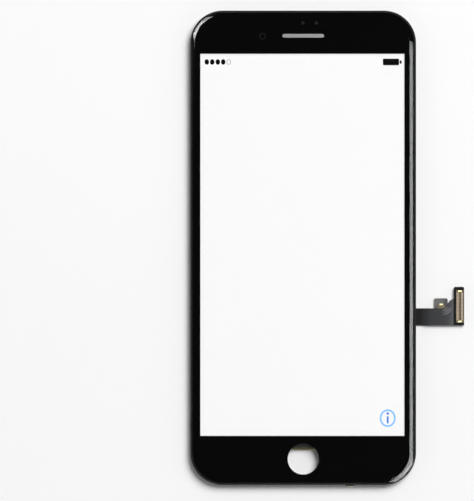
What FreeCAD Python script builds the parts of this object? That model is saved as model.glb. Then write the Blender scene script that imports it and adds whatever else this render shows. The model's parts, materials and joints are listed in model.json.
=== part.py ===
import FreeCAD, Part
import math
import os
from types import SimpleNamespace

import Sketcher

# Phone display assembly, lying on its back: X across, Y toward the earpiece, Z up through the glass.
# The origin is the middle of the body on the plane that the frame's foot stands on. Millimetres.

SIZES = {
    # body outline and the frame's rim
    "body_width": 74.5,
    "body_length": 156.6,
    "corner_radius": 10.6,
    "rim_wall": 0.35,
    "glass_gap": 0.05,
    "rim_overlap": 0.25,
    "flange_height": 0.9,
    "skirt_inset": 0.8,
    "skirt_inset_low": 0.2,
    "skirt_wall": 0.85,
    "panel_lift": 0.13,
    "glue_thick": 0.06,
    "ledge_reach": 3.2,
    "ledge_gap": 0.04,
    # layer thicknesses from the back to the front
    "flex_lift": 0.12,
    "flex_thick": 0.12,
    "film_thick": 0.06,
    "tray_thick": 0.12,
    "reflector_thick": 0.07,
    "guide_thick": 0.35,
    "diffuser_thick": 0.08,
    "prism_thick": 0.08,
    "rim_tape_thick": 0.06,
    "polarizer_thick": 0.12,
    "panel_glass_thick": 0.24,
    "adhesive_thick": 0.18,
    "print_thick": 0.04,
    "cover_thick": 0.7,
    # cover glass, its curved edge and its openings
    "active_left": 1.63,
    "active_right": 2.17,
    "active_top": 1.81,
    "active_low": 4.89,
    "edge_curve_width": 2.0,
    "edge_curve_drop": 0.4,
    "print_inset": 0.3,
    "home_radius": 5.15,
    "home_clearance": 0.25,
    "ear_width": 13.7,
    "ear_height": 1.15,
    "ear_fit": 0.05,
    "ear_flange": 0.5,
    "ear_proud": 0.35,
    "camera_left": 13.4,
    "camera_radius": 1.1,
    "camera_ring_wall": 0.3,
    "camera_seat": 0.5,
    "camera_bay_radius": 2.6,
    "sensor_left": 0.1,
    "sensor_right": 4.3,
    "sensor_radius": 0.6,
    "sensor_seat": 0.3,
    # display module
    "module_gap_low": 2.2,
    "tray_under": 0.6,
    "tft_under": 0.4,
    "bond_ledge": 2.4,
    "lamp_room": 3.2,
    "lamp_margin": 8.3,
    "module_gap": 0.66,
    "module_gap_top": 0.3,
    "white_wall": 1.0,
    "layer_gap": 0.05,
    "tft_inset": 0.24,
    "polarizer_inset": 0.3,
    "lamp_depth": 1.3,
    "lamp_width": 2.6,
    "lamp_strip_over": 0.8,
    "rim_tape_width": 1.1,
    "chip_length": 20.0,
    "chip_width": 0.9,
    "chip_height": 0.28,
    "chip_gap": 0.3,
    # red film, white strips and labels on the back
    "film_margin": 0.09,
    "film_step": 0.5,
    "small_label_width": 8.26,
    "small_label_gap": 0.1,
    "film_corner_x": 2.5,
    "film_corner_y": 2.6,
    "white_strip": 4.1,
    "top_strip": 0.9,
    "strip_gap": 0.05,
    "center_label_width": 20.4,
    "center_label_top": 7.4,
    "center_label_low": 14.9,
    "side_tape_width": 3.4,
    "side_tape_low": 6.3,
    "side_tape_length": 4.3,
    "pip_half": 0.28,
    # display flex
    "fold_gap": 0.3,
    "sheet_corner": 2.8,
    "leg_corner": 1.3,
    "leg_pad_step": 1.0,
    "tail_notch_gap": 0.9,
    "notch_height": 0.45,
    "tab_corner": 0.6,
    "bond_width": 1.4,
    # touch flex
    "touch_bond_width": 2.3,
    "touch_curve_radius": 16.0,
    "touch_slit_width": 0.7,
    "end_plate_corner": 0.5,
    # connectors and what backs the flex
    "plug_height": 0.6,
    "nail_width": 1.1,
    "nail_depth": 0.5,
    "nail_height": 0.4,
    "socket_height": 0.7,
    "socket_groove": 0.7,
    "socket_groove_depth": 0.4,
    "socket_end": 0.75,
    "contact_length": 0.75,
    "contact_width": 0.24,
    "contact_pitch": 0.45,
    "contact_height": 0.05,
    "stiffener_thick": 0.18,
    "stiffener_inset": 0.2,
    "back_plate_thick": 0.1,
    "patch_thick": 0.08,
    "patch_width": 2.2,
    "pad_thick": 0.05,
    "block_left": 0.4,
    "block_right": 3.2,
    "block_length": 2.8,
    "block_depth": 0.9,
    # screw inserts
    "insert_ledge_in": 1.0,
    "insert_radius": 1.2,
    "insert_small_radius": 1.0,
    "insert_hole": 0.6,
    "insert_fit": 0.02,
    "insert_proud": 0.08,
    "insert_length": 1.25,
    "insert_short": 0.3,
    "insert_top_x": 8.73,
    "insert_ledge_x": 3.75,
    "insert_low_x": 18.87,
    "insert_home_x": 6.8,
    # moulded detail of the frame's top panel
    "teeth_width": 13.4,
    "foam_gap": 0.4,
    "foam_width": 3.8,
    "plate_left": 11.6,
    "plate_depth": 0.15,
    "plate_corner": 1.5,
    "groove_width": 0.35,
    "groove_depth": 0.4,
    "tooth_height": 0.7,
    "tooth_pitch": 2.43,
    "ear_bay_half": 8.07,
    "sensor_bay_right": 1.8,
    "sensor_bay_left": 7.2,
    "ear_step_right": 0.5,
    "ear_step_left": 4.8,
    "gasket_width": 14.2,
    "gasket_height": 2.6,
    "gasket_thick": 0.4,
    "bay_left": 2.8,
    "bay_right": 5.6,
    "bay_depth": 1.0,
    "locator_radius": 0.35,
    "foam_left": 11.5,
    "foam_thick": 0.1,
    # moulded detail of the rails
    "rail_notch_margin": 8.0,
    "rail_notch_length": 1.6,
    "rail_notch_depth": 0.4,
    "rail_notch_height": 0.3,
    # moulded detail and small parts of the bottom panel
    "rib_height": 0.08,
    "clip_bay_left": 9.1,
    "clip_bay_right": 13.95,
    "clip_reach": 1.3,
    "clip_width": 0.5,
    "clip_thick": 0.4,
    "ground_left": 14.6,
    "ground_right": 16.0,
    "ground_thick": 0.08,
    "boot_left": 14.0,
    "boot_right": 16.8,
    "boot_past_edge": 0.5,
    "boot_fit": 0.05,
    "tongue_width": 1.6,
    "tongue_thick": 0.08,
    "tongue_past_boot": 0.1,
    "tape_width": 16.3,
    "tape_thick": 0.1,
}

# Distances in from the body's top edge, each read as a height above the middle.
FROM_TOP = {
    "opening_top": 12.4,
    "ear_rise": 8.3,
    "camera_rise": 8.4,
    "sensor_rise": 4.0,
    "insert_top_y": 3.5,
    "plate_low": 11.3,
    "plate_top": 3.9,
    "teeth_base": 3.3,
    "teeth_root": 2.5,
    "ear_bay_low": 10.8,
    "ear_bay_top": 6.4,
    "sensor_bay_top": 2.3,
    "ear_step_low": 11.7,
    "bay_low": 5.3,
    "bay_top": 2.0,
}

# Distances up from the body's low edge, each read as a depth below the middle.
FROM_LOW = {
    "opening_low": 11.3,
    "home_drop": 8.58,
    "film_low": 27.4,
    "film_leg_turn": 18.3,
    "film_leg_low": 13.8,
    "small_label_top": 41.0,
    "small_label_low": 36.0,
    "sheet_top": 24.3,
    "leg_turn": 23.9,
    "leg_knee_y": 18.9,
    "leg_foot_y": 13.3,
    "leg_pad_top": 52.9,
    "leg_pad_low": 45.6,
    "tail_top": 58.3,
    "tail_low": 52.65,
    "display_tab_top": 61.6,
    "touch_leg_turn": 23.4,
    "touch_knee_y": 17.4,
    "touch_hip_y": 16.2,
    "touch_curve_top": 20.3,
    "touch_wide_low": 40.8,
    "touch_wide_turn": 34.8,
    "touch_window_top": 44.6,
    "touch_window_low": 40.0,
    "touch_slit_top": 14.9,
    "touch_slit_low": 12.7,
    "web_mid_y": 59.4,
    "web_high_y": 60.9,
    "web_top_y": 61.6,
    "end_plate_top": 65.4,
    "plug_top": 59.35,
    "plug_low": 53.4,
    "socket_top": 64.35,
    "socket_low": 53.6,
    "patch_top": 61.8,
    "patch_low": 56.1,
    "pad_top": 50.8,
    "pad_low": 45.85,
    "insert_low_y": 9.3,
    "insert_home_y": 8.1,
    "corner_slot_top": 9.9,
    "corner_slot_low": 9.3,
    "rib_top": 7.1,
    "rib_low": 2.1,
    "clip_bay_top": 10.4,
    "clip_bay_low": 7.4,
    "ground_top": 10.2,
    "ground_low": 5.3,
    "boot_top": 2.5,
    "tape_top": 2.4,
    "tape_low": 0.25,
}

# Distances in from the body's side, each read as a distance from the middle.
FROM_SIDE = {
    "film_leg_x": 13.75,
    "film_tab_right": 7.15,
    "film_tab_left": 19.95,
    "leg_inner": 21.25,
    "leg_outer": 10.49,
    "leg_knee_x": 14.85,
    "leg_foot_x": 20.95,
    "touch_leg_inner": 9.25,
    "touch_knee_x": 14.35,
    "touch_hip_x": 15.65,
    "touch_foot_x": 15.85,
    "touch_fold_end": 9.15,
    "touch_wide_inner": 12.65,
    "touch_window_left": 5.75,
    "touch_slit_left": 10.35,
    "large_pad_right": 13.15,
    "large_pad_left": 21.4,
    "small_pad_left": 7.65,
    "small_pad_right": 4.55,
    "plate_right": 3.45,
    "foam_right": 3.25,
    "corner_slot_left": 5.05,
    "corner_slot_right": 2.45,
    "rib_left": 6.75,
    "rib_right": 6.05,
    "sheet_left": 7.25,
}

# Distances out past the body's right side, each read as a distance from the middle.
PAST_SIDE = {
    "rise_start": 0.75,
    "rise_end": 4.95,
    "display_tab_left": 5.95,
    "display_tab_right": 10.55,
    "web_left": 9.45,
    "web_mid_x": 10.25,
    "web_high_x": 11.25,
    "end_plate_left": 12.55,
    "end_plate_right": 15.95,
    "plug_left": 7.05,
    "plug_right": 9.75,
    "socket_left": 13.3,
    "socket_right": 15.68,
}

LAMP_COUNT = 9
TOOTH_COUNT = 5
CONTACT_COUNT = 20
NOTCH_COUNT = 15
SIDE_PIP_COUNT = 14
TOP_PIP_COUNT = 7

doc = FreeCAD.newDocument("display_assembly")
sheet = doc.addObject("Spreadsheet::Sheet", "sizes")
bodies = []


class Size:
    """A length that carries its number and the sheet formula that gives it."""

    def __init__(self, value, formula):
        self.value = float(value)
        self.formula = formula

    def __add__(self, other):
        other = as_size(other)
        return Size(self.value + other.value, f"({self.formula} + {other.formula})")

    def __sub__(self, other):
        other = as_size(other)
        return Size(self.value - other.value, f"({self.formula} - {other.formula})")

    def __mul__(self, other):
        other = as_size(other)
        return Size(self.value * other.value, f"({self.formula} * {other.formula})")

    def __truediv__(self, other):
        other = as_size(other)
        return Size(self.value / other.value, f"({self.formula} / {other.formula})")

    def __neg__(self):
        return Size(-self.value, f"(0 - {self.formula})")


def as_size(length):
    if isinstance(length, Size):
        return length
    if length < 0:
        return Size(length, f"(0 - {-float(length)})")
    return Size(length, f"{float(length)}")


def fill_sheet():
    """Writes each driving size to its own row and gives it back under its name."""
    sizes = {}
    rows = {**SIZES, **FROM_TOP, **FROM_LOW, **FROM_SIDE, **PAST_SIDE}
    for row, (name, value) in enumerate(rows.items(), start=1):
        sheet.set(f"A{row}", name)
        sheet.set(f"B{row}", str(value))
        sheet.setAlias(f"B{row}", name)
        sizes[name] = Size(value, f"sizes.{name}")
    doc.recompute()
    return SimpleNamespace(**sizes)


S = fill_sheet()
half_width = S.body_width / 2
half_length = S.body_length / 2


def places():
    """The distances from the body's edges as distances from its middle."""
    found = {}
    for name in (*FROM_TOP, *FROM_LOW):
        found[name] = half_length - getattr(S, name)
    for name in FROM_SIDE:
        found[name] = half_width - getattr(S, name)
    for name in PAST_SIDE:
        found[name] = half_width + getattr(S, name)
    return SimpleNamespace(**found)


P = places()


# Sketch shapes: each one gives back a function that draws itself, fully held, in a sketch.

def bind(sketch, kind, *place, length):
    length = as_size(length)
    index = sketch.addConstraint(Sketcher.Constraint(kind, *place, length.value))
    sketch.setExpression(f"Constraints[{index}]", length.formula)


def vector(x, y):
    return FreeCAD.Vector(as_size(x).value, as_size(y).value, 0)


def arc(center, radius, start, end):
    circle = Part.Circle(center, FreeCAD.Vector(0, 0, 1), radius)
    return Part.ArcOfCircle(circle, start, end)


def rect(x0, x1, y0, y1):
    def draw(sketch):
        corners = [vector(x0, y0), vector(x1, y0), vector(x1, y1), vector(x0, y1)]
        sides = [Part.LineSegment(corners[i], corners[(i + 1) % 4]) for i in range(4)]
        low, right, top, left = sketch.addGeometry(sides, False)
        for first, second in ((low, right), (right, top), (top, left), (left, low)):
            sketch.addConstraint(Sketcher.Constraint("Coincident", first, 2, second, 1))
        for side in (low, top):
            sketch.addConstraint(Sketcher.Constraint("Horizontal", side))
        for side in (left, right):
            sketch.addConstraint(Sketcher.Constraint("Vertical", side))
        bind(sketch, "DistanceX", left, 1, length=x0)
        bind(sketch, "DistanceX", right, 1, length=x1)
        bind(sketch, "DistanceY", low, 1, length=y0)
        bind(sketch, "DistanceY", top, 1, length=y1)
    return draw


def rounded(x0, x1, y0, y1, radius):
    def draw(sketch):
        left, right = as_size(x0).value, as_size(x1).value
        low, top = as_size(y0).value, as_size(y1).value
        r = as_size(radius).value
        quarter = math.pi / 2
        near_left, near_right = left + r, right - r
        near_low, near_top = low + r, top - r
        outline = [
            Part.LineSegment(vector(near_left, low), vector(near_right, low)),
            arc(vector(near_right, near_low), r, -quarter, 0),
            Part.LineSegment(vector(right, near_low), vector(right, near_top)),
            arc(vector(near_right, near_top), r, 0, quarter),
            Part.LineSegment(vector(near_right, top), vector(near_left, top)),
            arc(vector(near_left, near_top), r, quarter, 2 * quarter),
            Part.LineSegment(vector(left, near_top), vector(left, near_low)),
            arc(vector(near_left, near_low), r, 2 * quarter, 3 * quarter),
        ]
        ids = sketch.addGeometry(outline, False)
        for i in range(8):
            sketch.addConstraint(Sketcher.Constraint("Tangent", ids[i], 2, ids[(i + 1) % 8], 1))
        for i in (0, 4):
            sketch.addConstraint(Sketcher.Constraint("Horizontal", ids[i]))
        for i in (2, 6):
            sketch.addConstraint(Sketcher.Constraint("Vertical", ids[i]))
        for i in (3, 5, 7):
            sketch.addConstraint(Sketcher.Constraint("Equal", ids[1], ids[i]))
        bind(sketch, "Radius", ids[1], length=radius)
        bind(sketch, "DistanceX", ids[6], 1, length=x0)
        bind(sketch, "DistanceX", ids[2], 1, length=x1)
        bind(sketch, "DistanceY", ids[0], 1, length=y0)
        bind(sketch, "DistanceY", ids[4], 1, length=y1)
    return draw


def disc(x, y, radius):
    def draw(sketch):
        circle = Part.Circle(vector(x, y), FreeCAD.Vector(0, 0, 1), as_size(radius).value)
        index = sketch.addGeometry(circle, False)
        bind(sketch, "DistanceX", index, 3, length=x)
        bind(sketch, "DistanceY", index, 3, length=y)
        bind(sketch, "Radius", index, length=radius)
    return draw


def slot(x, y, width, height):
    """A slot along X with round ends, given by its middle and its full size."""
    radius = as_size(height) / 2
    reach = as_size(width) / 2 - radius
    x0, x1 = as_size(x) - reach, as_size(x) + reach

    def draw(sketch):
        r = radius.value
        low, top = as_size(y).value - r, as_size(y).value + r
        quarter = math.pi / 2
        ids = sketch.addGeometry([
            Part.LineSegment(vector(x0, low), vector(x1, low)),
            arc(vector(x1, y), r, -quarter, quarter),
            Part.LineSegment(vector(x1, top), vector(x0, top)),
            arc(vector(x0, y), r, quarter, 3 * quarter),
        ], False)
        for i in range(4):
            sketch.addConstraint(Sketcher.Constraint("Tangent", ids[i], 2, ids[(i + 1) % 4], 1))
        for index, center in ((ids[1], x1), (ids[3], x0)):
            bind(sketch, "DistanceX", index, 3, length=center)
            bind(sketch, "DistanceY", index, 3, length=y)
            bind(sketch, "Radius", index, length=radius)
    return draw


def loop(*points):
    """A closed outline. A point (x, y, radius, turn) is reached by an arc, any other by a line."""
    def draw(sketch):
        ends = []
        for i, point in enumerate(points):
            here = vector(*points[i - 1][:2])
            there = vector(*point[:2])
            if len(point) == 2:
                index = sketch.addGeometry(Part.LineSegment(here, there), False)
                ends.append((index, 1, 2))
                continue
            radius, turn = as_size(point[2]), point[3]
            chord = there - here
            rise = math.sqrt(max(radius.value ** 2 - chord.Length ** 2 / 4, 0))
            side = FreeCAD.Vector(-chord.y, chord.x, 0).normalize() * turn
            center = (here + there) / 2 + side * rise
            first, last = (here, there) if turn > 0 else (there, here)
            start = math.atan2(first.y - center.y, first.x - center.x)
            end = math.atan2(last.y - center.y, last.x - center.x)
            index = sketch.addGeometry(arc(center, radius.value, start, end), False)
            ends.append((index, 1, 2) if turn > 0 else (index, 2, 1))
            bind(sketch, "Radius", index, length=radius)
        for i, (index, _, finish) in enumerate(ends):
            following, begin, _ = ends[(i + 1) % len(ends)]
            sketch.addConstraint(Sketcher.Constraint("Coincident", index, finish, following, begin))
            bind(sketch, "DistanceX", index, finish, length=points[i][0])
            bind(sketch, "DistanceY", index, finish, length=points[i][1])
    return draw


def half_ring(x, y, inner, outer):
    """The half of a ring that lies on the low side of x."""
    def draw(sketch):
        quarter = math.pi / 2
        cx, cy = as_size(x).value, as_size(y).value
        a, b = as_size(inner).value, as_size(outer).value
        ids = sketch.addGeometry([
            arc(vector(cx, cy), b, quarter, 3 * quarter),
            Part.LineSegment(vector(cx, cy - b), vector(cx, cy - a)),
            arc(vector(cx, cy), a, quarter, 3 * quarter),
            Part.LineSegment(vector(cx, cy + a), vector(cx, cy + b)),
        ], False)
        joints = (
            (ids[0], 2, ids[1], 1), (ids[1], 2, ids[2], 2),
            (ids[2], 1, ids[3], 1), (ids[3], 2, ids[0], 1))
        for joint in joints:
            sketch.addConstraint(Sketcher.Constraint("Coincident", *joint))
        for index, radius in ((ids[0], outer), (ids[2], inner)):
            bind(sketch, "DistanceX", index, 3, length=x)
            bind(sketch, "DistanceY", index, 3, length=y)
            bind(sketch, "Radius", index, length=radius)
            for end in (1, 2):
                sketch.addConstraint(Sketcher.Constraint("Vertical", index, 3, index, end))
    return draw


# Bodies and their features.

def new_body(name):
    body = doc.addObject("PartDesign::Body", name)
    body.Label = name
    body.Placement = FreeCAD.Placement()
    bodies.append(body)
    return body


def origin_part(body, role):
    return next(item for item in body.Origin.OriginFeatures if item.Role == role)


def new_sketch(body, level, shapes, plane="XY_Plane"):
    sketch = body.newObject("Sketcher::SketchObject", f"{body.Name}_sketch")
    sketch.AttachmentSupport = [(origin_part(body, plane), "")]
    sketch.MapMode = "FlatFace"
    sketch.setExpression("AttachmentOffset.Base.z", as_size(level).formula)
    for shape in shapes:
        shape(sketch)
    return sketch


def finish(body, feature):
    body.Tip = feature
    doc.recompute()
    return feature


def pad(body, z0, z1, *shapes):
    feature = body.newObject("PartDesign::Pad", f"{body.Name}_pad")
    feature.Profile = new_sketch(body, z0, shapes)
    feature.setExpression("Length", (as_size(z1) - z0).formula)
    return finish(body, feature)


def pad_across(body, plane, start, end, *shapes):
    """A pad whose outline stands upright in the XZ or YZ plane."""
    feature = body.newObject("PartDesign::Pad", f"{body.Name}_pad")
    feature.Profile = new_sketch(body, start, shapes, plane)
    feature.setExpression("Length", (as_size(end) - start).formula)
    return finish(body, feature)


def pocket(body, z0, z1, *shapes):
    before = body.Shape.Volume
    feature = body.newObject("PartDesign::Pocket", f"{body.Name}_pocket")
    feature.Profile = new_sketch(body, z1, shapes)
    feature.setExpression("Length", (as_size(z1) - z0).formula)
    finish(body, feature)
    if body.Shape.Volume >= before:
        raise ValueError(f"{feature.Name} took nothing away from {body.Label}")
    return feature


def row(body, feature, axis, count, pitch):
    """Repeats a feature along an axis of the body."""
    pattern = body.newObject("PartDesign::LinearPattern", f"{body.Name}_row")
    pattern.Originals = [feature]
    pattern.Direction = (origin_part(body, axis), [""])
    pattern.Occurrences = count
    pattern.setExpression("Length", (as_size(pitch) * (count - 1)).formula)
    return finish(body, pattern)


def round_corners(body, radius, *places):
    """Rounds the upright edges that stand at the given places."""
    chosen = []
    for number, edge in enumerate(body.Shape.Edges, start=1):
        low, high = edge.Vertexes[0].Point, edge.Vertexes[-1].Point
        upright = (low - high).Length > 0 and math.hypot(low.x - high.x, low.y - high.y) < 1e-6
        if upright and any((vector(x, y) - FreeCAD.Vector(low.x, low.y, 0)).Length < 1e-4 for x, y in places):
            chosen.append(f"Edge{number}")
    base = body.Tip
    feature = body.newObject("PartDesign::Fillet", f"{body.Name}_fillet")
    feature.Base = (base, chosen)
    feature.setExpression("Radius", radius.formula)
    return finish(body, feature)


def plain_layer(name, z0, thickness, x0, x1, y0, y1):
    body = new_body(name)
    pad(body, z0, z0 + thickness, rect(x0, x1, y0, y1))
    return body


# Levels, from the back to the front.

z_display_flex = S.flex_lift
z_touch_flex = z_display_flex + S.flex_thick
z_film = z_touch_flex + S.flex_thick
z_tray = z_film + S.film_thick
z_reflector = z_tray + S.tray_thick
z_guide = z_reflector + S.reflector_thick
z_diffuser = z_guide + S.guide_thick
z_prism_low = z_diffuser + S.diffuser_thick
z_prism_top = z_prism_low + S.prism_thick
z_rim_tape = z_prism_top + S.prism_thick
z_rear_polarizer = z_rim_tape + S.rim_tape_thick
z_tft = z_rear_polarizer + S.polarizer_thick
z_filter = z_tft + S.panel_glass_thick
z_front_polarizer = z_filter + S.panel_glass_thick
z_adhesive = z_front_polarizer + S.polarizer_thick
z_print = z_adhesive + S.adhesive_thick
z_cover = z_print + S.print_thick
z_seat = z_print - S.glue_thick
z_rim = z_cover + S.rim_overlap
z_flange = z_rim - S.flange_height
z_ledge_top = z_tray - S.ledge_gap
z_panel = S.panel_lift
z_label = z_film - S.film_thick
z_insert = z_panel - S.insert_proud
z_tongue = z_insert - S.boot_fit
z_boot = z_tongue + S.tongue_thick
z_bay_roof = z_panel + S.bay_depth

# Places that several pieces share.

opening_half = half_width - S.skirt_inset - S.skirt_wall
module_half = opening_half - S.module_gap
module_top = P.opening_top - S.module_gap_top
module_low = P.opening_low - S.module_gap_low
inner_half = module_half - S.white_wall
inner_top = module_top - S.white_wall - S.module_gap_top
layer_half = inner_half - S.layer_gap
layer_top = inner_top - S.layer_gap
tray_low = module_low + S.tray_under
tft_half = module_half - S.tft_inset
tft_top = module_top - S.tft_inset
tft_low = module_low + S.tft_under
filter_low = tft_low - S.bond_ledge
guide_low = module_low - S.lamp_room
lamp_low = guide_low + S.lamp_depth
fold_start = tray_low + S.fold_gap
window_left = S.active_left - opening_half
window_right = opening_half - S.active_right
window_low = S.active_low - P.opening_low
window_top = P.opening_top - S.active_top
ledge_edge = P.opening_top - S.ledge_reach
film_half = layer_half - S.film_margin
film_top = ledge_edge - S.top_strip - S.strip_gap * 2
film_step = P.leg_inner - S.film_step
insert_ledge_y = P.opening_top - S.insert_ledge_in
edge_gap = S.rim_wall + S.glass_gap
home_y = -P.home_drop
ear_y = P.ear_rise
flange_ear_width = S.ear_width + S.ear_flange * 2
flange_ear_height = S.ear_height + S.ear_flange * 2
camera_x = -S.camera_left
sensor_places = [(-S.sensor_left, P.sensor_rise), (S.sensor_right, P.sensor_rise)]
camera_seat_radius = S.camera_radius + S.camera_seat
sensor_seat_radius = S.sensor_radius + S.sensor_seat
z_tail_top = z_touch_flex + S.plug_height


def body_outline(inset):
    """The rounded outline of the body, moved in by a wall or a gap."""
    return rounded(inset - half_width, half_width - inset, inset - half_length, half_length - inset,
                   S.corner_radius - inset)


def skirt_outline(inset):
    side = S.skirt_inset + inset
    low = S.skirt_inset_low + inset
    return rounded(side - half_width, half_width - side, low - half_length, half_length - side,
                   S.corner_radius - side)


def mirrored_discs(radius, *places):
    return [disc(x * side, y, radius) for x, y in places for side in (1, -1)]


# Cover glass and what lies right behind it.

def cover_glass():
    body = new_body("cover_glass")
    z_top = z_cover + S.cover_thick
    z_edge = z_top - S.edge_curve_drop
    pad(body, z_cover, z_edge, body_outline(edge_gap))
    sections = []
    for share in (1, 0.75, 0.5, 0):
        level = z_top - S.edge_curve_drop * (share * share)
        inset = edge_gap + S.edge_curve_width * (1 - share)
        sections.append(new_sketch(body, level, [body_outline(inset)]))
    crown = body.newObject("PartDesign::AdditiveLoft", "cover_glass_crown")
    crown.Profile = sections[0]
    crown.Sections = sections[1:]
    crown.Ruled = True
    finish(body, crown)
    pocket(body, z_cover, z_top, disc(0, home_y, S.home_radius), slot(0, ear_y, S.ear_width, S.ear_height))


def border_mask():
    body = new_body("border_mask")
    pad(body, z_print, z_cover,
        body_outline(edge_gap + S.print_inset),
        rect(window_left, window_right, window_low, window_top),
        disc(0, home_y, S.home_radius),
        slot(0, ear_y, S.ear_width, S.ear_height),
        disc(camera_x, P.camera_rise, S.camera_radius),
        *[disc(x, y, S.sensor_radius) for x, y in sensor_places])


def frame_adhesive():
    body = new_body("frame_adhesive")
    seat_edge = S.print_inset
    pad(body, z_seat, z_print,
        body_outline(edge_gap + S.print_inset),
        rect(-(opening_half + seat_edge / 2), opening_half + seat_edge / 2,
             -(P.opening_low + seat_edge), P.opening_top + seat_edge))
    pocket(body, z_seat, z_print, disc(0, home_y, S.home_radius + S.home_clearance * 2))
    pocket(body, z_seat, z_print,
           slot(0, ear_y, flange_ear_width + S.ear_fit * 2, flange_ear_height + S.ear_fit * 2),
           disc(camera_x, P.camera_rise, camera_seat_radius + S.glass_gap))
    gap = S.glass_gap
    pocket(body, z_seat, z_print,
           slot((S.sensor_right - S.sensor_left) / 2, P.sensor_rise,
                S.sensor_right + S.sensor_left + (sensor_seat_radius + gap) * 2,
                (sensor_seat_radius + gap) * 2))


def optical_adhesive():
    half = tft_half - S.polarizer_inset
    top = tft_top - S.polarizer_inset
    body = plain_layer("optical_adhesive", z_adhesive, S.adhesive_thick,
                       -half, half, S.polarizer_inset - filter_low, top)
    gap = S.layer_gap
    pad(body, z_print, z_cover, rect(window_left + gap, window_right - gap, window_low + gap, window_top - gap))


def panel_layers():
    half = tft_half - S.polarizer_inset
    top = tft_top - S.polarizer_inset
    plain_layer("front_polarizer", z_front_polarizer, S.polarizer_thick,
                -half, half, S.polarizer_inset - filter_low, top)
    plain_layer("color_filter_glass", z_filter, S.panel_glass_thick,
                -tft_half, tft_half, -filter_low, tft_top)
    plain_layer("tft_glass", z_tft, S.panel_glass_thick, -tft_half, tft_half, -tft_low, tft_top)
    plain_layer("rear_polarizer", z_rear_polarizer, S.polarizer_thick,
                -half, half, S.polarizer_inset - module_low, top)
    chip_top = -(filter_low + S.chip_gap)
    plain_layer("driver_chip", z_filter, S.chip_height,
                -(S.chip_length / 2), S.chip_length / 2, chip_top - S.chip_width, chip_top)


def rim_tape():
    body = new_body("rim_tape")
    outer = tft_half - S.polarizer_inset / 2
    outer_top = tft_top - S.polarizer_inset / 2
    outer_low = module_low - S.polarizer_inset
    width = S.rim_tape_width
    pad(body, z_rim_tape, z_rear_polarizer,
        rect(-outer, outer, -outer_low, outer_top),
        rect(width - outer, outer - width, width * 2 - outer_low, outer_top - width))


def backlight_layers():
    plain_layer("prism_film_upper", z_prism_top, S.prism_thick, -layer_half, layer_half, -lamp_low, layer_top)
    plain_layer("prism_film_lower", z_prism_low, S.prism_thick, -layer_half, layer_half, -lamp_low, layer_top)
    plain_layer("diffuser_film", z_diffuser, S.diffuser_thick, -layer_half, layer_half,
                S.lamp_strip_over + S.layer_gap - guide_low, layer_top)
    plain_layer("light_guide", z_guide, S.guide_thick, -layer_half, layer_half, -guide_low, layer_top)
    plain_layer("reflector_film", z_reflector, S.reflector_thick, -layer_half, layer_half,
                -guide_low, layer_top)


def lamp_strip():
    plain_layer("led_flex", z_diffuser, S.diffuser_thick, -layer_half, layer_half,
                -(lamp_low + S.lamp_strip_over), S.lamp_strip_over - guide_low)
    body = new_body("leds")
    start = S.lamp_margin - layer_half
    pitch = -start * 2 / (LAMP_COUNT - 1)
    lamp = pad(body, z_reflector, z_diffuser,
               rect(start - S.lamp_width / 2, start + S.lamp_width / 2, -lamp_low, -guide_low))
    row(body, lamp, "X_Axis", LAMP_COUNT, pitch)


def backlight_frame():
    body = new_body("backlight_frame")
    wall_low = module_low
    inner_low = -(wall_low - S.white_wall)
    pad(body, z_tray, z_reflector, loop(
        (-module_half, -wall_low), (-inner_half, -wall_low), (-inner_half, inner_top),
        (inner_half, inner_top), (inner_half, -wall_low), (module_half, -wall_low),
        (module_half, module_top), (-module_half, module_top)))
    pad(body, z_reflector, z_rim_tape,
        rect(-module_half, module_half, -wall_low, module_top),
        rect(-inner_half, inner_half, inner_low, inner_top))


# Back of the display module.

def back_skins():
    plain_layer("back_tray", z_tray, S.tray_thick, -layer_half, layer_half, -tray_low, layer_top)
    body = new_body("red_film")
    half = film_half
    tab_top = film_top + S.top_strip + S.strip_gap
    pad(body, z_film, z_tray, loop(
        (-half, -P.film_low), (film_step, -P.film_low), (P.film_leg_x, -P.film_leg_turn),
        (P.film_leg_x, -P.film_leg_low), (half, -P.film_leg_low),
        (half, film_top - S.film_corner_y), (half - S.film_corner_x, film_top),
        (P.film_tab_right, film_top), (P.film_tab_right, tab_top),
        (P.film_tab_left, tab_top), (P.film_tab_left, film_top),
        (S.film_corner_x - half, film_top), (-half, film_top - S.film_corner_y)))
    body = new_body("white_tape")
    strip_low = film_top + S.strip_gap
    strip_top = strip_low + S.top_strip
    pad(body, z_film, z_tray,
        rect(-half, film_step, -(P.film_low + S.strip_gap + S.white_strip), -(P.film_low + S.strip_gap)),
        rect(-half, P.film_tab_left - S.strip_gap, strip_low, strip_top),
        rect(P.film_tab_right + S.strip_gap, half, strip_low, strip_top))


def labels():
    plain_layer("center_label", z_label, S.film_thick, -(S.center_label_width / 2), S.center_label_width / 2,
                -S.center_label_low, S.center_label_top)
    label_end = P.leg_inner - S.small_label_gap
    plain_layer("small_label", z_label, S.film_thick, label_end - S.small_label_width, label_end,
                -P.small_label_low, -P.small_label_top)
    outer = module_half - S.layer_gap
    plain_layer("side_tape", z_label, S.film_thick, outer - S.side_tape_width, outer,
                S.side_tape_low, S.side_tape_low + S.side_tape_length)


def tray_pips():
    body = new_body("tray_pips")
    half = S.pip_half
    wall_middle = inner_half + S.white_wall / 2
    low = half - P.film_low
    pair = pad(body, z_film, z_tray, *[
        rect(x - half, x + half, low - half, low + half) for x in (wall_middle, -wall_middle)])
    row(body, pair, "Y_Axis", SIDE_PIP_COUNT, (film_top - low) / (SIDE_PIP_COUNT - 1))
    strip_middle = film_top + S.strip_gap + S.top_strip / 2
    first, last = half * 2 - film_half, P.film_tab_left - half * 4
    pip = pad(body, z_label, z_film,
              rect(first - half, first + half, strip_middle - half, strip_middle + half))
    row(body, pip, "X_Axis", TOP_PIP_COUNT, (last - first) / (TOP_PIP_COUNT - 1))


# Flexible circuits and what they carry.

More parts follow.
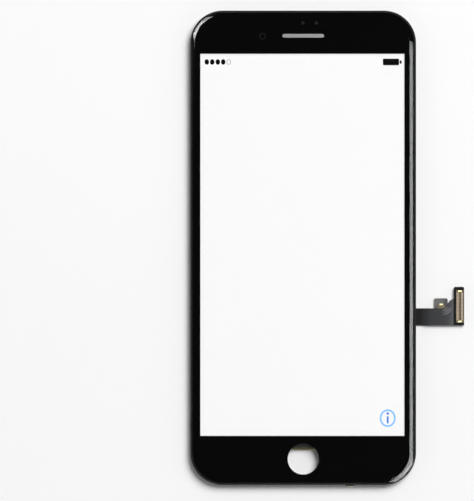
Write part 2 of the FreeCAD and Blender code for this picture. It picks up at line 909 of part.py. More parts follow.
def fold(body, x0, x1, z_low, z_high, bond_width):
    """A sheet end that turns up round the module's edge and runs back in along its upper side."""
    outer = (z_high - z_low) / 2
    middle = z_low + outer
    pad_across(body, "YZ_Plane", x0, x1,
               half_ring(-fold_start, middle, outer - S.flex_thick, outer))
    pad(body, z_high - S.flex_thick, z_high, rect(x0, x1, -fold_start, bond_width - fold_start))


def display_flex():
    body = new_body("display_flex")
    inner, outer = P.leg_inner, P.leg_outer
    pad_left = inner - S.leg_pad_step
    pad(body, z_display_flex, z_touch_flex, loop(
        (-P.sheet_left, -fold_start), (P.leg_foot_x, -fold_start), (P.leg_foot_x, -P.leg_foot_y),
        (P.leg_knee_x, -P.leg_knee_y), (outer, -P.leg_turn), (outer, -P.tail_low),
        (P.display_tab_right, -P.tail_low), (P.display_tab_right, -P.display_tab_top),
        (P.display_tab_left, -P.display_tab_top), (P.display_tab_left, -P.tail_top),
        (inner, -P.tail_top), (inner, -P.leg_pad_top), (pad_left, -P.leg_pad_top),
        (pad_left, -P.leg_pad_low), (inner, -P.leg_pad_low), (inner, -P.sheet_top),
        (-P.sheet_left, -P.sheet_top)))
    round_corners(body, S.leg_corner, (inner, -P.tail_top))
    round_corners(body, S.sheet_corner, (inner, -P.sheet_top))
    round_corners(body, S.tab_corner,
                  (P.display_tab_right, -P.tail_low), (P.display_tab_right, -P.display_tab_top),
                  (P.display_tab_left, -P.display_tab_top))
    fold(body, -P.sheet_left, P.leg_foot_x, z_display_flex, z_filter + S.flex_thick, S.bond_width)


def touch_flex():
    body = new_body("touch_flex")
    outer = film_half
    wide, leg = P.touch_wide_inner, P.touch_leg_inner
    slit_right = P.touch_slit_left + S.touch_slit_width
    pad(body, z_touch_flex, z_film,
        loop(
            (P.touch_foot_x, -fold_start), (P.touch_fold_end, -fold_start),
            (outer, -P.touch_curve_top, S.touch_curve_radius, -1),
            (outer, -P.touch_window_low), (P.touch_window_left, -P.touch_window_low),
            (P.touch_window_left, -P.touch_window_top), (outer, -P.touch_window_top),
            (outer, -P.tail_low), (P.rise_start, -P.tail_low), (P.rise_start, -P.tail_top),
            (wide, -P.tail_top), (wide, -P.touch_wide_low), (leg, -P.touch_wide_turn),
            (leg, -P.touch_leg_turn), (P.touch_knee_x, -P.touch_knee_y), (P.touch_hip_x, -P.touch_hip_y)),
        rect(P.touch_slit_left, slit_right, -P.touch_slit_low, -P.touch_slit_top))
    rise_middle = (P.rise_start + P.rise_end) / 2
    step = (P.rise_end - P.rise_start) / 2
    climb = (z_tail_top - z_touch_flex) / 2
    z_middle = z_touch_flex + climb
    bend = (step * step + climb * climb) / (climb * 2)
    thick = S.flex_thick
    pad_across(body, "XZ_Plane", P.tail_top, P.tail_low, loop(
        (P.rise_start, z_touch_flex), (rise_middle, z_middle, bend, 1),
        (P.rise_end, z_tail_top, bend, -1), (P.rise_end, z_tail_top + thick),
        (rise_middle, z_middle + thick, bend, 1), (P.rise_start, z_film, bend, -1)))
    left, right = P.end_plate_left, P.end_plate_right
    pad(body, z_tail_top, z_tail_top + thick, tail_end(left, right))
    round_corners(body, S.end_plate_corner, (right, -P.end_plate_top), (left, -P.end_plate_top))
    fold(body, P.touch_foot_x, P.touch_fold_end, z_touch_flex, z_print, S.touch_bond_width)


def tail_end(left, right):
    """The raised end of the touch flex with the web that leads to its connector plate."""
    return loop(
        (P.rise_end, -P.tail_low), (right, -P.tail_low), (right, -P.end_plate_top),
        (left, -P.end_plate_top), (left, -P.web_top_y), (P.web_high_x, -P.web_high_y),
        (P.web_mid_x, -P.web_mid_y), (P.web_left, -P.tail_top), (P.rise_end, -P.tail_top))


def flex_adhesive():
    body = new_body("flex_adhesive")
    inset = S.stiffener_inset
    pad(body, z_touch_flex, z_tray,
        rect(-P.sheet_left, film_step - inset * 2, inset * 6 - fold_start,
             -(P.film_low + S.white_strip + S.strip_gap + inset)))
    pad(body, z_touch_flex, z_film,
        rect(P.leg_inner + S.leg_corner, P.touch_wide_inner - inset,
             -P.touch_wide_turn, -(P.tail_top + S.leg_corner)))


def flex_pads():
    body = new_body("flex_pads")
    pad(body, z_display_flex - S.pad_thick, z_display_flex,
        rect(P.large_pad_left, P.large_pad_right, -P.pad_low, -P.pad_top))
    pad(body, z_touch_flex - S.pad_thick, z_touch_flex,
        rect(P.small_pad_left, P.small_pad_right, -P.pad_low, -P.pad_top))


def stiffeners():
    inset = S.stiffener_inset
    z_low = z_tail_top - S.stiffener_thick
    body = new_body("stiffener_main")
    pad(body, z_low, z_tail_top, rounded(
        P.end_plate_left + inset, P.end_plate_right - inset,
        inset - P.tail_low, -(P.end_plate_top + inset), S.end_plate_corner - inset / 2))
    middle = (P.end_plate_left + P.end_plate_right) / 2
    plain_layer("stiffener_patch", z_low - S.patch_thick, S.patch_thick,
                middle - S.patch_width / 2, middle + S.patch_width / 2, -P.patch_low, -P.patch_top)
    body = new_body("stiffener_display")
    pad(body, z_display_flex - S.back_plate_thick, z_display_flex, rounded(
        P.display_tab_left, P.display_tab_right, -P.tail_low, -P.display_tab_top, S.tab_corner))


def display_connector():
    body = new_body("connector_display")
    pad(body, z_touch_flex, z_tail_top, rect(P.plug_left, P.plug_right, -P.plug_low, -P.plug_top))
    body = new_body("display_nails")
    middle = (P.plug_left + P.plug_right) / 2
    x0, x1 = middle - S.nail_width / 2, middle + S.nail_width / 2
    pad(body, z_touch_flex, z_touch_flex + S.nail_height,
        rect(x0, x1, -P.plug_top, S.nail_depth - P.plug_top),
        rect(x0, x1, -(P.plug_low + S.nail_depth), -P.plug_low))


def main_connector():
    z_low = z_tail_top + S.flex_thick
    z_top = z_low + S.socket_height
    middle = (P.socket_left + P.socket_right) / 2
    groove = S.socket_groove / 2
    body = new_body("connector_main")
    pad(body, z_low, z_top, rect(P.socket_left, P.socket_right, -P.socket_low, -P.socket_top))
    pocket(body, z_top - S.socket_groove_depth, z_top,
           rect(middle - groove, middle + groove, S.socket_end - P.socket_low, -(P.socket_top + S.socket_end)))
    body = new_body("main_contacts")
    span = S.contact_pitch * (CONTACT_COUNT - 1)
    start = -((P.socket_top + P.socket_low) / 2) - span / 2
    half = S.contact_width / 2
    outer = groove + S.contact_length
    blade = pad(body, z_top, z_top + S.contact_height,
                rect(middle - outer, middle - groove, start - half, start + half),
                rect(middle + groove, middle + outer, start - half, start + half))
    row(body, blade, "Y_Axis", CONTACT_COUNT, S.contact_pitch)
    body = new_body("main_nails")
    x0, x1 = middle - S.nail_width / 2, middle + S.nail_width / 2
    rim = (S.socket_end - S.nail_depth) / 2
    pad(body, z_top, z_top + S.contact_height,
        rect(x0, x1, -(P.socket_top + rim + S.nail_depth), -(P.socket_top + rim)),
        rect(x0, x1, rim - P.socket_low, rim + S.nail_depth - P.socket_low))


def component_row():
    """Small parts along the folded edge of the display flex, pale and dark by turns."""
    low, top = -fold_start, S.block_depth - fold_start
    z_low = z_display_flex - S.back_plate_thick
    body = new_body("component_blocks")
    pad(body, z_low, z_display_flex,
        rect(S.block_right, S.block_right + S.block_length, low, top),
        rect(-(S.block_left + S.block_length), -S.block_left, low, top))
    body = new_body("component_housings")
    gap = S.block_left / 2
    pad(body, z_low, z_display_flex,
        rect(gap - S.block_left, S.block_right - gap, low, top),
        rect(-(S.block_left + S.block_length + gap) - S.block_length,
             -(S.block_left + S.block_length + gap), low, top))


# Frame.

def tooth_pocket():
    middle = (S.plate_left + P.plate_right) / 2
    left, right = middle - S.teeth_width / 2, middle + S.teeth_width / 2
    half_pitch = S.tooth_pitch / 2
    bend = (half_pitch * half_pitch + S.tooth_height * S.tooth_height) / (S.tooth_height * 2)
    start = middle + half_pitch * TOOTH_COUNT
    points = [(left, P.teeth_base), (right, P.teeth_base), (right, P.teeth_root), (start, P.teeth_root)]
    for number in range(1, TOOTH_COUNT + 1):
        points.append((start - S.tooth_pitch * number, P.teeth_root, bend, 1))
    points.append((left, P.teeth_root))
    return loop(*points)


def ear_bay():
    half, low, top = S.ear_bay_half, P.ear_bay_low, P.ear_bay_top
    return loop(
        (-half, low), (-S.ear_step_left, low), (-S.ear_step_left, P.ear_step_low),
        (-S.ear_step_right, P.ear_step_low), (-S.ear_step_right, low), (half, low), (half, top),
        (S.sensor_bay_right, top), (S.sensor_bay_right, P.sensor_bay_top),
        (-S.sensor_bay_left, P.sensor_bay_top), (-S.sensor_bay_left, top), (-half, top))


def frame_shell(body):
    pad(body, z_flange, z_rim, body_outline(as_size(0)))
    pad(body, z_panel, z_flange, skirt_outline(as_size(0)))
    pad(body, 0, z_panel, skirt_outline(as_size(0)), skirt_outline(S.skirt_wall))
    pocket(body, z_seat, z_rim, body_outline(S.rim_wall))
    pocket(body, z_ledge_top, z_seat, rect(-opening_half, opening_half, -P.opening_low, P.opening_top))
    pocket(body, 0, z_ledge_top,
           rect(-opening_half, opening_half, -P.opening_low, P.opening_top - S.ledge_reach))


def frame_bays(body):
    """Everything moulded into the back of the top and bottom panels, one cut for each depth."""
    left, right, top = S.plate_left, P.plate_right, P.plate_top
    inner = right - S.plate_corner
    pocket(body, 0, z_panel + S.plate_depth,
           rounded(left, right, P.plate_low, top, S.plate_corner),
           rounded(-right, -left, P.plate_low, top, S.plate_corner))
    pocket(body, 0, z_panel + S.groove_depth,
           rect(left, inner, top, top + S.groove_width), rect(-inner, -left, top, top + S.groove_width),
           rect(P.corner_slot_left, P.corner_slot_right, -P.corner_slot_low, -P.corner_slot_top))
    pocket(body, 0, z_panel + S.bay_depth,
           tooth_pocket(), ear_bay(),
           rect(S.bay_left, S.bay_right, P.bay_low, P.bay_top),
           disc(camera_x, P.camera_rise, S.camera_bay_radius),
           rect(S.clip_bay_left, S.clip_bay_right, -P.clip_bay_low, -P.clip_bay_top))
    pad(body, z_panel - S.rib_height, z_panel, rect(P.rib_left, P.rib_right, -P.rib_low, -P.rib_top))


def frame_holes(body):
    pocket(body, 0, z_seat,
           disc(0, home_y, S.home_radius + S.home_clearance),
           slot(0, ear_y, S.ear_width, S.ear_height),
           disc(camera_x, P.camera_rise, S.camera_radius),
           *[disc(x, y, S.sensor_radius) for x, y in sensor_places])
    fit = S.insert_fit
    pocket(body, 0, z_insert + S.insert_length,
           *mirrored_discs(S.insert_radius + fit,
                           (S.insert_top_x, P.insert_top_y), (S.insert_low_x, -P.insert_low_y)),
           *mirrored_discs(S.insert_small_radius + fit, (S.insert_home_x, -P.insert_home_y)))
    pocket(body, 0, z_ledge_top,
           disc(0, insert_ledge_y, S.locator_radius),
           *mirrored_discs(S.insert_radius + fit, (S.insert_ledge_x, insert_ledge_y)))


def frame_notches(body):
    reach = opening_half + S.rail_notch_depth
    inside = opening_half - S.rail_notch_depth
    gap, fit = S.tail_notch_gap, S.boot_fit
    pocket(body, 0, S.notch_height,
           rect(inside, half_width, -(P.tail_low + gap), gap - P.tail_top),
           rect(S.boot_left - fit, S.boot_right + fit, -half_length, fit - P.boot_top))
    pocket(body, 0, z_panel,
           rect(-(S.tape_width / 2) - fit, S.tape_width / 2 + fit, -half_length,
                S.skirt_wall + S.skirt_inset_low - half_length))
    low = S.rail_notch_margin - P.opening_low
    top = low + S.rail_notch_length
    last = P.opening_top - S.rail_notch_margin - S.rail_notch_length
    notch = pocket(body, 0, S.rail_notch_height, rect(inside, reach, low, top), rect(-reach, -inside, low, top))
    row(body, notch, "Y_Axis", NOTCH_COUNT, (last - low) / (NOTCH_COUNT - 1))


def bezel_frame():
    body = new_body("bezel_frame")
    frame_shell(body)
    frame_bays(body)
    frame_holes(body)
    frame_notches(body)


# Small parts that the frame carries.

def screw_inserts():
    body = new_body("screw_inserts")
    z_top = z_insert + S.insert_length
    long_places = ((S.insert_top_x, P.insert_top_y), (S.insert_low_x, -P.insert_low_y))
    small_place = (S.insert_home_x, -P.insert_home_y)
    pad(body, z_insert, z_top,
        *mirrored_discs(S.insert_radius, *long_places), *mirrored_discs(S.insert_hole, *long_places),
        *mirrored_discs(S.insert_small_radius, small_place), *mirrored_discs(S.insert_hole, small_place))
    ledge_place = (S.insert_ledge_x, insert_ledge_y)
    pad(body, z_insert, z_insert + S.insert_short,
        *mirrored_discs(S.insert_radius, ledge_place), *mirrored_discs(S.insert_hole, ledge_place))


def earpiece():
    body = new_body("earpiece_mesh")
    fit = S.ear_fit * 2
    pad(body, z_seat, z_print, slot(0, ear_y, flange_ear_width, flange_ear_height))
    pad(body, z_print, z_cover + S.ear_proud, slot(0, ear_y, S.ear_width - fit, S.ear_height - fit))
    body = new_body("earpiece_gasket")
    middle = (P.ear_bay_low + P.ear_bay_top) / 2
    pad(body, z_bay_roof - S.gasket_thick, z_bay_roof, slot(0, middle, S.gasket_width, S.gasket_height))


def window_parts():
    body = new_body("camera_ring")
    inner = S.camera_radius - S.camera_ring_wall
    pad(body, z_seat, z_print,
        disc(camera_x, P.camera_rise, camera_seat_radius), disc(camera_x, P.camera_rise, inner))
    body = new_body("sensor_filters")
    pad(body, z_seat, z_print, *[disc(x, y, sensor_seat_radius) for x, y in sensor_places])


def back_strips():
    body = new_body("top_foam")
    left, right = S.foam_left, P.foam_right
    low = ledge_edge + S.foam_gap
    top = low + S.foam_width
    pad(body, z_panel - S.foam_thick, z_panel, rect(left, right, low, top), rect(-right, -left, low, top))
    plain_layer("yellow_tape", z_panel - S.tape_thick, S.tape_thick,
                -(S.tape_width / 2), S.tape_width / 2, -P.tape_low, -P.tape_top)


def bottom_contacts():
    plain_layer("ground_contact", z_panel - S.ground_thick, S.ground_thick,
                S.ground_left, S.ground_right, -P.ground_low, -P.ground_top)
    boot_end = half_length + S.boot_past_edge
    plain_layer("contact_boot", z_boot, S.notch_height - z_boot,
                S.boot_left, S.boot_right, -boot_end, -P.boot_top)
    middle = (S.boot_left + S.boot_right) / 2
    half = S.tongue_width / 2
    plain_layer("edge_contact", z_tongue, S.tongue_thick,
                middle - half, middle + half, -(boot_end + S.tongue_past_boot), -P.boot_top)
    body = new_body("spring_clip")
    middle_x = (S.clip_bay_left + S.clip_bay_right) / 2
    middle_y = -(P.clip_bay_top + P.clip_bay_low) / 2
    reach, width = S.clip_reach, S.clip_width
    pad(body, z_bay_roof - S.clip_thick, z_bay_roof, loop(
        (middle_x + reach, middle_y - width), (middle_x + reach, middle_y),
        (middle_x, middle_y + width / 2), (middle_x - reach, middle_y + reach),
        (middle_x - reach + width, middle_y + width / 4), (middle_x, middle_y - reach)))


def build():
    cover_glass()
    border_mask()
    frame_adhesive()
    optical_adhesive()
    panel_layers()
    rim_tape()
    backlight_layers()
    lamp_strip()
    backlight_frame()
    back_skins()
    labels()
    tray_pips()
    display_flex()
    touch_flex()
    flex_adhesive()
    flex_pads()
    stiffeners()
    display_connector()
    main_connector()
    component_row()
    bezel_frame()
    screw_inserts()
    earpiece()
    window_parts()
    back_strips()
    bottom_contacts()
    doc.recompute()


def check():
    for item in doc.Objects:
        if "Invalid" in item.State or "Error" in item.State:
            raise ValueError(f"{item.Name} did not build")
        if item.TypeId == "Sketcher::SketchObject" and not item.FullyConstrained:
            raise ValueError(f"{item.Name} is not fully held")
    for body in bodies:
        if body.Shape.isNull() or not body.Shape.isValid() or not body.Shape.Solids:
            raise ValueError(f"{body.Label} is not a sound solid")


def export():
    os.makedirs("parts", exist_ok=True)
    for body in bodies:
        body.Shape.exportStep(f"parts/{body.Label}.step")
        print(f"{body.Label}: {len(body.Shape.Solids)} solid(s)")


build()
check()
export()
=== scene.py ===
import json
import math

import bmesh
import bpy
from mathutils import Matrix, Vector

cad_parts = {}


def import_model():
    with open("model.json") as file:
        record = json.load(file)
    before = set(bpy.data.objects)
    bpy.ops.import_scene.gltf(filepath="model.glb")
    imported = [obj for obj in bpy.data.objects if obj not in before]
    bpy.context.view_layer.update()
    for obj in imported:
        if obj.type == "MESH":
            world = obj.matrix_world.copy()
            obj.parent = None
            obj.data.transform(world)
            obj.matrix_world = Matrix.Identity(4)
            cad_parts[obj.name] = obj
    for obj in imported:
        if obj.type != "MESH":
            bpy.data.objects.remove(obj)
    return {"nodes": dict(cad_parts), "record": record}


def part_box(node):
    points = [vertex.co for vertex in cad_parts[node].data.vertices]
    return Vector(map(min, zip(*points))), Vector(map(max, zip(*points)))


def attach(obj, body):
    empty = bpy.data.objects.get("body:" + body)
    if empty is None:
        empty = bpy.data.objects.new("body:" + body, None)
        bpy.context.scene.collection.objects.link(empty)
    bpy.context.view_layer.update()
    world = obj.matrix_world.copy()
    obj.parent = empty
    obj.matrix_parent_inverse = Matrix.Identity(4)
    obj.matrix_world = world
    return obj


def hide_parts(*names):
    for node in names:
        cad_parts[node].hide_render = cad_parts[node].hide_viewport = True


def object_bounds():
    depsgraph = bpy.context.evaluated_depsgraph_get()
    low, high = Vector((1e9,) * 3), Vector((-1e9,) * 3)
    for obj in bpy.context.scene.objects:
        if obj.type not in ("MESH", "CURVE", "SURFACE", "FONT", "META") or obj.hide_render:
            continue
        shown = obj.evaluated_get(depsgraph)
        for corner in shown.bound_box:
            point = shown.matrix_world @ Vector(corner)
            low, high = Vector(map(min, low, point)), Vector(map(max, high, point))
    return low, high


# Phone display assembly lying on its back, glass up. Metres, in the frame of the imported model.
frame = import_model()
cad_low, cad_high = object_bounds()

MM = 0.001
BODY = "root"
NODES = frame["nodes"]
SLOT_OF = {part["node"]: part["material_slot"] for part in frame["record"]["subparts"]}

# The photograph's frame: how much of the floor the picture's long side takes in, and its middle.
VIEW_LENGTH = 165.4 * MM
VIEW_CENTER = Vector((-21.86 * MM, -0.89 * MM, 2.6 * MM))
CAMERA_HEIGHT = 1.6
CAMERA_CLIP = (0.05, 20.0)
SENSOR = 36.0

# Faces whose normal has this much of Z are level. They are shaded flat, so that their long triangles
# show no streaks. The others are smooth, up to edges that turn by these angles, in degrees.
LEVEL = 0.99995
SHARP_EDGE = 35.0
SHARP_CREASE = 60.0
SHARP_INSERT = 25.0

# Vertices of a CAD node that lie nearer to each other than this count as one.
WELD = 0.001 * MM

# The round end of a slot takes this share of half its width, so that its two arcs don't share a point.
ROUND_END = 0.999

# Cover glass: the edge falls away in a curve, and the openings have a small polished chamfer.
EDGE_WIDTH = 2.0 * MM
EDGE_DROP = 0.4 * MM
EDGE_STEPS = 14
EDGE_RUN = 3.0 * MM
CORNER_RADIUS = 10.2 * MM
CORNER_STEPS = 36
CHAMFER = 0.12 * MM
GLASS_LIFT = 0.004 * MM
INK_THICK = 0.02 * MM
HOME_CENTER = (0.0, -69.72 * MM)
HOME_RADIUS = 5.15 * MM
HOME_STEPS = 96
EAR_CENTER = (0.0, 70.0 * MM)
EAR_SIZE = (13.7 * MM, 1.15 * MM)
EAR_STEPS = 12

# Signs lit on the screen.
SCREEN_GLOW = 0.41
SIGN_HEIGHT = 0.02 * MM
SIGN_SINK = 0.005 * MM
SIGN_CORNER_STEPS = 6
SIGNAL_X = (-31.83 * MM, -30.05 * MM, -28.2 * MM, -26.42 * MM)
SIGNAL_EMPTY_X = -24.6 * MM
SIGNAL_Y = 61.38 * MM
SIGNAL_RADII = (0.74 * MM, 0.91 * MM)
SIGNAL_LINE = 0.2 * MM
SIGNAL_STEPS = 32
BATTERY_LOW = (26.32 * MM, 60.29 * MM)
BATTERY_HIGH = (31.67 * MM, 62.47 * MM)
BATTERY_CORNER = 0.35 * MM
NUB_LOW = (31.85 * MM, 60.8 * MM)
NUB_HIGH = (32.52 * MM, 61.9 * MM)
NUB_CORNER = 0.2 * MM
INFO_CENTER = (27.93 * MM, -56.27 * MM)
INFO_RADII = (2.62 * MM, 2.9 * MM)
INFO_LINE = 0.55 * MM
INFO_STEPS = 64
INFO_STEM_LOW = (27.62 * MM, -58.0 * MM)
INFO_STEM_HIGH = (28.22 * MM, -55.6 * MM)
INFO_STEM_CORNER = 0.2 * MM
INFO_DOT_Y = -54.75 * MM
INFO_DOT_RADIUS = 0.42 * MM
INFO_DOT_STEPS = 24

# Size of the screen's cells.
CELL = 0.25 * MM

# Heights between which the frame's back tone gives way to its darker front tone: partly the rim's black
# plastic, partly painted shade.
FRAME_SHADE_FADE = (1.2 * MM, 1.9 * MM)

# Distances from the middle line between which painted light makes the red film grow brighter.
FILM_LIGHT_FADE = (4.0 * MM, 30.0 * MM)

# Flex: its tracks, and the olive tone of its bend with the places that it fades between.
TRACK_PITCH = 2.4 * MM
TRACK_WAVER = 0.6
TRACK_SHARE = 0.12
FOLD_COLOR = (0.14, 0.12, 0.03, 1.0)
FOLD_FADE = (-66.2 * MM, -65.9 * MM)

# Tones of the touch flex's tail, whose rise from dark to light is painted sheen, and of the display flex's
# tab: place across in millimetres, and how much there is of the light tone. The dark and light tones are
# factors of the flex's colour.
TAIL_SHEEN_TONES = (
    (36.0, 0.0), (38.0, 0.01), (38.7, 0.03), (40.0, 0.14), (41.4, 0.19), (43.5, 0.19), (45.3, 0.22),
    (46.7, 0.24), (48.0, 0.31), (49.6, 0.56), (49.8, 0.0), (53.2, 0.0),
)
TAB_TONES = ((-40.0, 0.158), (42.4, 0.158), (43.2, 1.0), (46.0, 0.8), (47.6, 0.45), (48.2, 0.3))
TAIL_DARK = 0.15
TAIL_LIGHT = 5.6

# Woven wire of the earpiece.
WIRE_RADIUS = 0.04 * MM
WIRE_PITCH = 0.16 * MM
WIRE_SIDES = 5
STEPS_PER_WIRE = 2
MESH_MARGIN = 0.06 * MM
MESH_RIM = 0.14 * MM

# Creases of the flex tail: arcs round the corner of the small connector's plate, light grey as painted
# highlights.
CREASE_CENTER = (45.6 * MM, -18.3 * MM)
CREASE_RADII = (2.5 * MM, 3.2 * MM, 3.9 * MM)
CREASE_TURN = (-86.0, -18.0)
CREASE_STEPS = 28
CREASE_HALF = 0.16 * MM
CREASE_HEIGHT = 0.045 * MM
CREASE_SINK = 0.03 * MM
CREASE_TIP = 0.2

# Small dark mark on the red film.
MARK_CENTER = (21.1 * MM, 59.3 * MM)
MARK_RADII = (0.9 * MM, 0.7 * MM)
MARK_THICK = 0.01 * MM
MARK_SINK = 0.003 * MM
MARK_STEPS = 32

# Black disc over the camera's opening: painted shade for the dark of the opening.
CAMERA_SHADE_RADIUS = 0.82 * MM
CAMERA_SHADE_THICK = 0.02 * MM
CAMERA_SHADE_STEPS = 48

# Turned screw inserts.
TURN_STEPS = 48
THREAD_PITCH = 0.22 * MM
THREAD_DEPTH = 0.07 * MM
INSERT_HOLE = 0.6 * MM
INSERT_CHAMFER = 0.12 * MM
WELL_THICK = 0.03 * MM

# Floor: a square just below the object. Its level is a picture level, and its cloud is in millimetres.
FLOOR_HALF = 2.0
FLOOR_GAP = 0.02 * MM
FLOOR_LEVEL = 251
FLOOR_GLOW = 0.03
FLOOR_CLOUD = 60.0

# The room as a light: strengths of its walls, ceiling and floor, and the share that gloss shows.
SIDE_LIGHT = 0.8
TOP_LIGHT = 0.025
UNDER_LIGHT = 0.6
GLOSS_SHARE = 1.0

# Where one part of the room gives way to the next, as the sine of the height above the horizon.
CEILING_FADE = (0.3, 0.55)
HORIZON_FADE = (-0.02, 0.02)
GLOSS_FADE = (0.55, 0.8)

WHITE = (1.0, 1.0, 1.0, 1.0)
BLACK = (0.0, 0.0, 0.0, 1.0)

# How a pattern is stretched: not at all, or into the lines of a brushed surface.
EVEN = (1.0, 1.0, 1.0)
BRUSHED = (1.0, 0.05, 1.0)

# Every material of this scene by its name.
PAINTS = {}


# Shader nodes

def srgb(*levels):
    """A colour written in picture levels, 0 to 255, as the linear colour that Blender takes."""
    linear = []
    for level in levels:
        part = level / 255
        linear.append(part / 12.92 if part <= 0.04045 else ((part + 0.055) / 1.055) ** 2.4)
    return (*linear, 1.0)


def scaled(color, factor):
    """The same colour, lighter or darker by this factor."""
    return (*(min(1.0, part * factor) for part in color[:3]), 1.0)


def put(tree, socket, value):
    """Gives a socket a fixed value or the output of another node."""
    if isinstance(value, bpy.types.NodeSocket):
        tree.links.new(value, socket)
    else:
        socket.default_value = value


def node(tree, kind, sockets=(), **settings):
    """A shader node with its settings, and with its sockets filled."""
    made = tree.nodes.new(kind)
    for name, value in settings.items():
        setattr(made, name, value)
    for name, value in dict(sockets).items():
        put(tree, made.inputs[name], value)
    return made


def new_paint(name):
    """Starts a material and returns its empty node tree."""
    made = bpy.data.materials.new(name)
    made.use_nodes = True
    made.node_tree.nodes.clear()
    PAINTS[name] = made
    return made.node_tree


def output(tree, shader):
    """Ends a material with this shader."""
    node(tree, "ShaderNodeOutputMaterial", {"Surface": shader.outputs[0]})


def surface(tree, sockets):
    """Ends a material with one painted surface."""
    output(tree, node(tree, "ShaderNodeBsdfPrincipled", sockets))


def layered(tree, share, first, second):
    """Ends a material with two shaders, where share says how much there is of the second."""
    output(tree, node(tree, "ShaderNodeMixShader", {0: share, 1: first.outputs[0], 2: second.outputs[0]}))


def calculated(tree, operation, *values, clamp=False):
    """The result of a sum on one or two values."""
    sockets = dict(enumerate(values))
    return node(tree, "ShaderNodeMath", sockets, operation=operation, use_clamp=clamp).outputs[0]


def place(tree, stretch=EVEN, shift=(0, 0, 0)):
    """Where a point lies in the object's own frame, stretched and shifted for a pattern."""
    source = node(tree, "ShaderNodeTexCoord").outputs["Object"]
    sockets = {"Vector": source, "Scale": stretch, "Location": shift}
    return node(tree, "ShaderNodeMapping", sockets).outputs[0]


def coordinate(tree, axis):
    """Where a point lies along X, Y or Z, in metres."""
    return node(tree, "ShaderNodeSeparateXYZ", {0: place(tree)}).outputs[axis]


def noise(tree, size, detail=3.0, stretch=EVEN, shift=(0, 0, 0)):
    """Cloudy pattern whose patches are about this many millimetres across."""
    sockets = {"Vector": place(tree, stretch, shift), "Scale": 1 / (size * MM), "Detail": detail}
    return node(tree, "ShaderNodeTexNoise", sockets).outputs["Fac"]


def remap(tree, value, low, high, start=0.3, end=0.7):
    """Goes from low to high while the value goes from start to end."""
    sockets = {"Value": value, "From Min": start, "From Max": end, "To Min": low, "To Max": high}
    return node(tree, "ShaderNodeMapRange", sockets).outputs["Result"]


def blend(tree, factor, first, second):
    """Mix of two colours."""
    made = node(tree, "ShaderNodeMix", data_type="RGBA")
    put(tree, made.inputs[0], factor)
    put(tree, made.inputs[6], first)
    put(tree, made.inputs[7], second)
    return made.outputs[2]


def between(tree, factor, first, second):
    """Mix of two plain values."""
    return node(tree, "ShaderNodeMix", {0: factor, 2: first, 3: second}).outputs[0]


def ramp(tree, value, stops):
    """A grey level that follows stops of place and level."""
    made = node(tree, "ShaderNodeValToRGB", {"Fac": value})
    points = made.color_ramp.elements
    first, second = points[0], points[1]
    added = [points.new(1.0) for _ in stops[2:]]
    for point, (at, level) in zip((first, second, *added), stops):
        point.position = at
        point.color = (level, level, level, 1)
    return made.outputs["Color"]


def bump(tree, height, depth):
    """Bumps of a height pattern that spans this many millimetres."""
    sockets = {"Height": height, "Distance": depth * MM, "Strength": 1.0}
    return node(tree, "ShaderNodeBump", sockets).outputs["Normal"]


def mottled(tree, color, vary, grain, cloud, stretch=EVEN):
    """A colour with fine grain and broad soft patches."""
    grains = noise(tree, grain, detail=2.0, stretch=stretch)
    fine = blend(tree, grains, scaled(color, 1 - vary), scaled(color, 1 + vary))
    broad = remap(tree, noise(tree, cloud, detail=2.0, shift=(3, 1, 2)), 0.0, 0.5)
    return blend(tree, broad, fine, scaled(color, 1 - vary * 1.5))


# Materials

def finish(name, color, vary=0.12, grain=0.3, cloud=9.0, rough=(0.4, 0.5), metallic=0.0, relief=0.002,
           relief_grain=0.12, stretch=EVEN, shine=0.5, coat=0.0):
    """Material of a slot: mottled colour, uneven gloss and fine relief."""
    tree = new_paint(name)
    surface(tree, {
        "Base Color": mottled(tree, color, vary, grain, cloud, stretch),
        "Roughness": remap(tree, noise(tree, cloud / 4, stretch=stretch), *rough),
        "Metallic": metallic,
        "Specular IOR Level": shine,
        "Coat Weight": coat,
        "Coat Roughness": 0.15,
        "Normal": bump(tree, noise(tree, relief_grain, detail=2.0, stretch=stretch), relief),
    })


def metal(name, color, rough, stretch=EVEN):
    """Metal with brushed or rolled grain."""
    finish(name, color, vary=0.1, grain=0.1, cloud=2.0, rough=rough, metallic=1.0, relief_grain=0.1,
           stretch=stretch)


def clear(name, share, rough):
    """A clear layer: what lies under it shows, and only its outer face adds the gloss."""
    tree = new_paint(name)
    behind = node(tree, "ShaderNodeNewGeometry").outputs["Backfacing"]
    outer = calculated(tree, "SUBTRACT", share, behind, clamp=True)
    mirrored = node(tree, "ShaderNodeFresnel", {"IOR": 1.5}).outputs[0]
    through = node(tree, "ShaderNodeBsdfTransparent", {"Color": (0.99, 0.99, 0.99, 1)})
    gloss = node(tree, "ShaderNodeBsdfPrincipled", {
        "Base Color": WHITE,
        "Metallic": 1.0,
        "Roughness": remap(tree, noise(tree, 6.0, detail=2.0), rough * 0.97, rough * 1.03),
    })
    layered(tree, calculated(tree, "MULTIPLY", mirrored, outer), through, gloss)


def screen_light():
    """The lit picture: white all over, with the faint cell grid of a panel."""
    tree = new_paint("screen_white")
    cells = node(tree, "ShaderNodeTexVoronoi", {"Vector": place(tree), "Scale": 1 / CELL})
    share = remap(tree, cells.outputs["Distance"], 0.0, 0.4)
    surface(tree, {
        "Base Color": blend(tree, share, srgb(219, 218, 218), srgb(214, 213, 213)),
        "Roughness": 0.45,
        "Specular IOR Level": 0.1,
        "Emission Color": WHITE,
        "Emission Strength": SCREEN_GLOW,
    })


def glow_sign(name, color):
    """A sign drawn by the screen itself."""
    tree = new_paint(name)
    shade = blend(tree, noise(tree, 0.3), scaled(color, 0.9), scaled(color, 1.1))
    surface(tree, {
        "Base Color": shade,
        "Roughness": 0.5,
        "Specular IOR Level": 0.0,
        "Emission Color": shade,
        "Emission Strength": SCREEN_GLOW,
    })


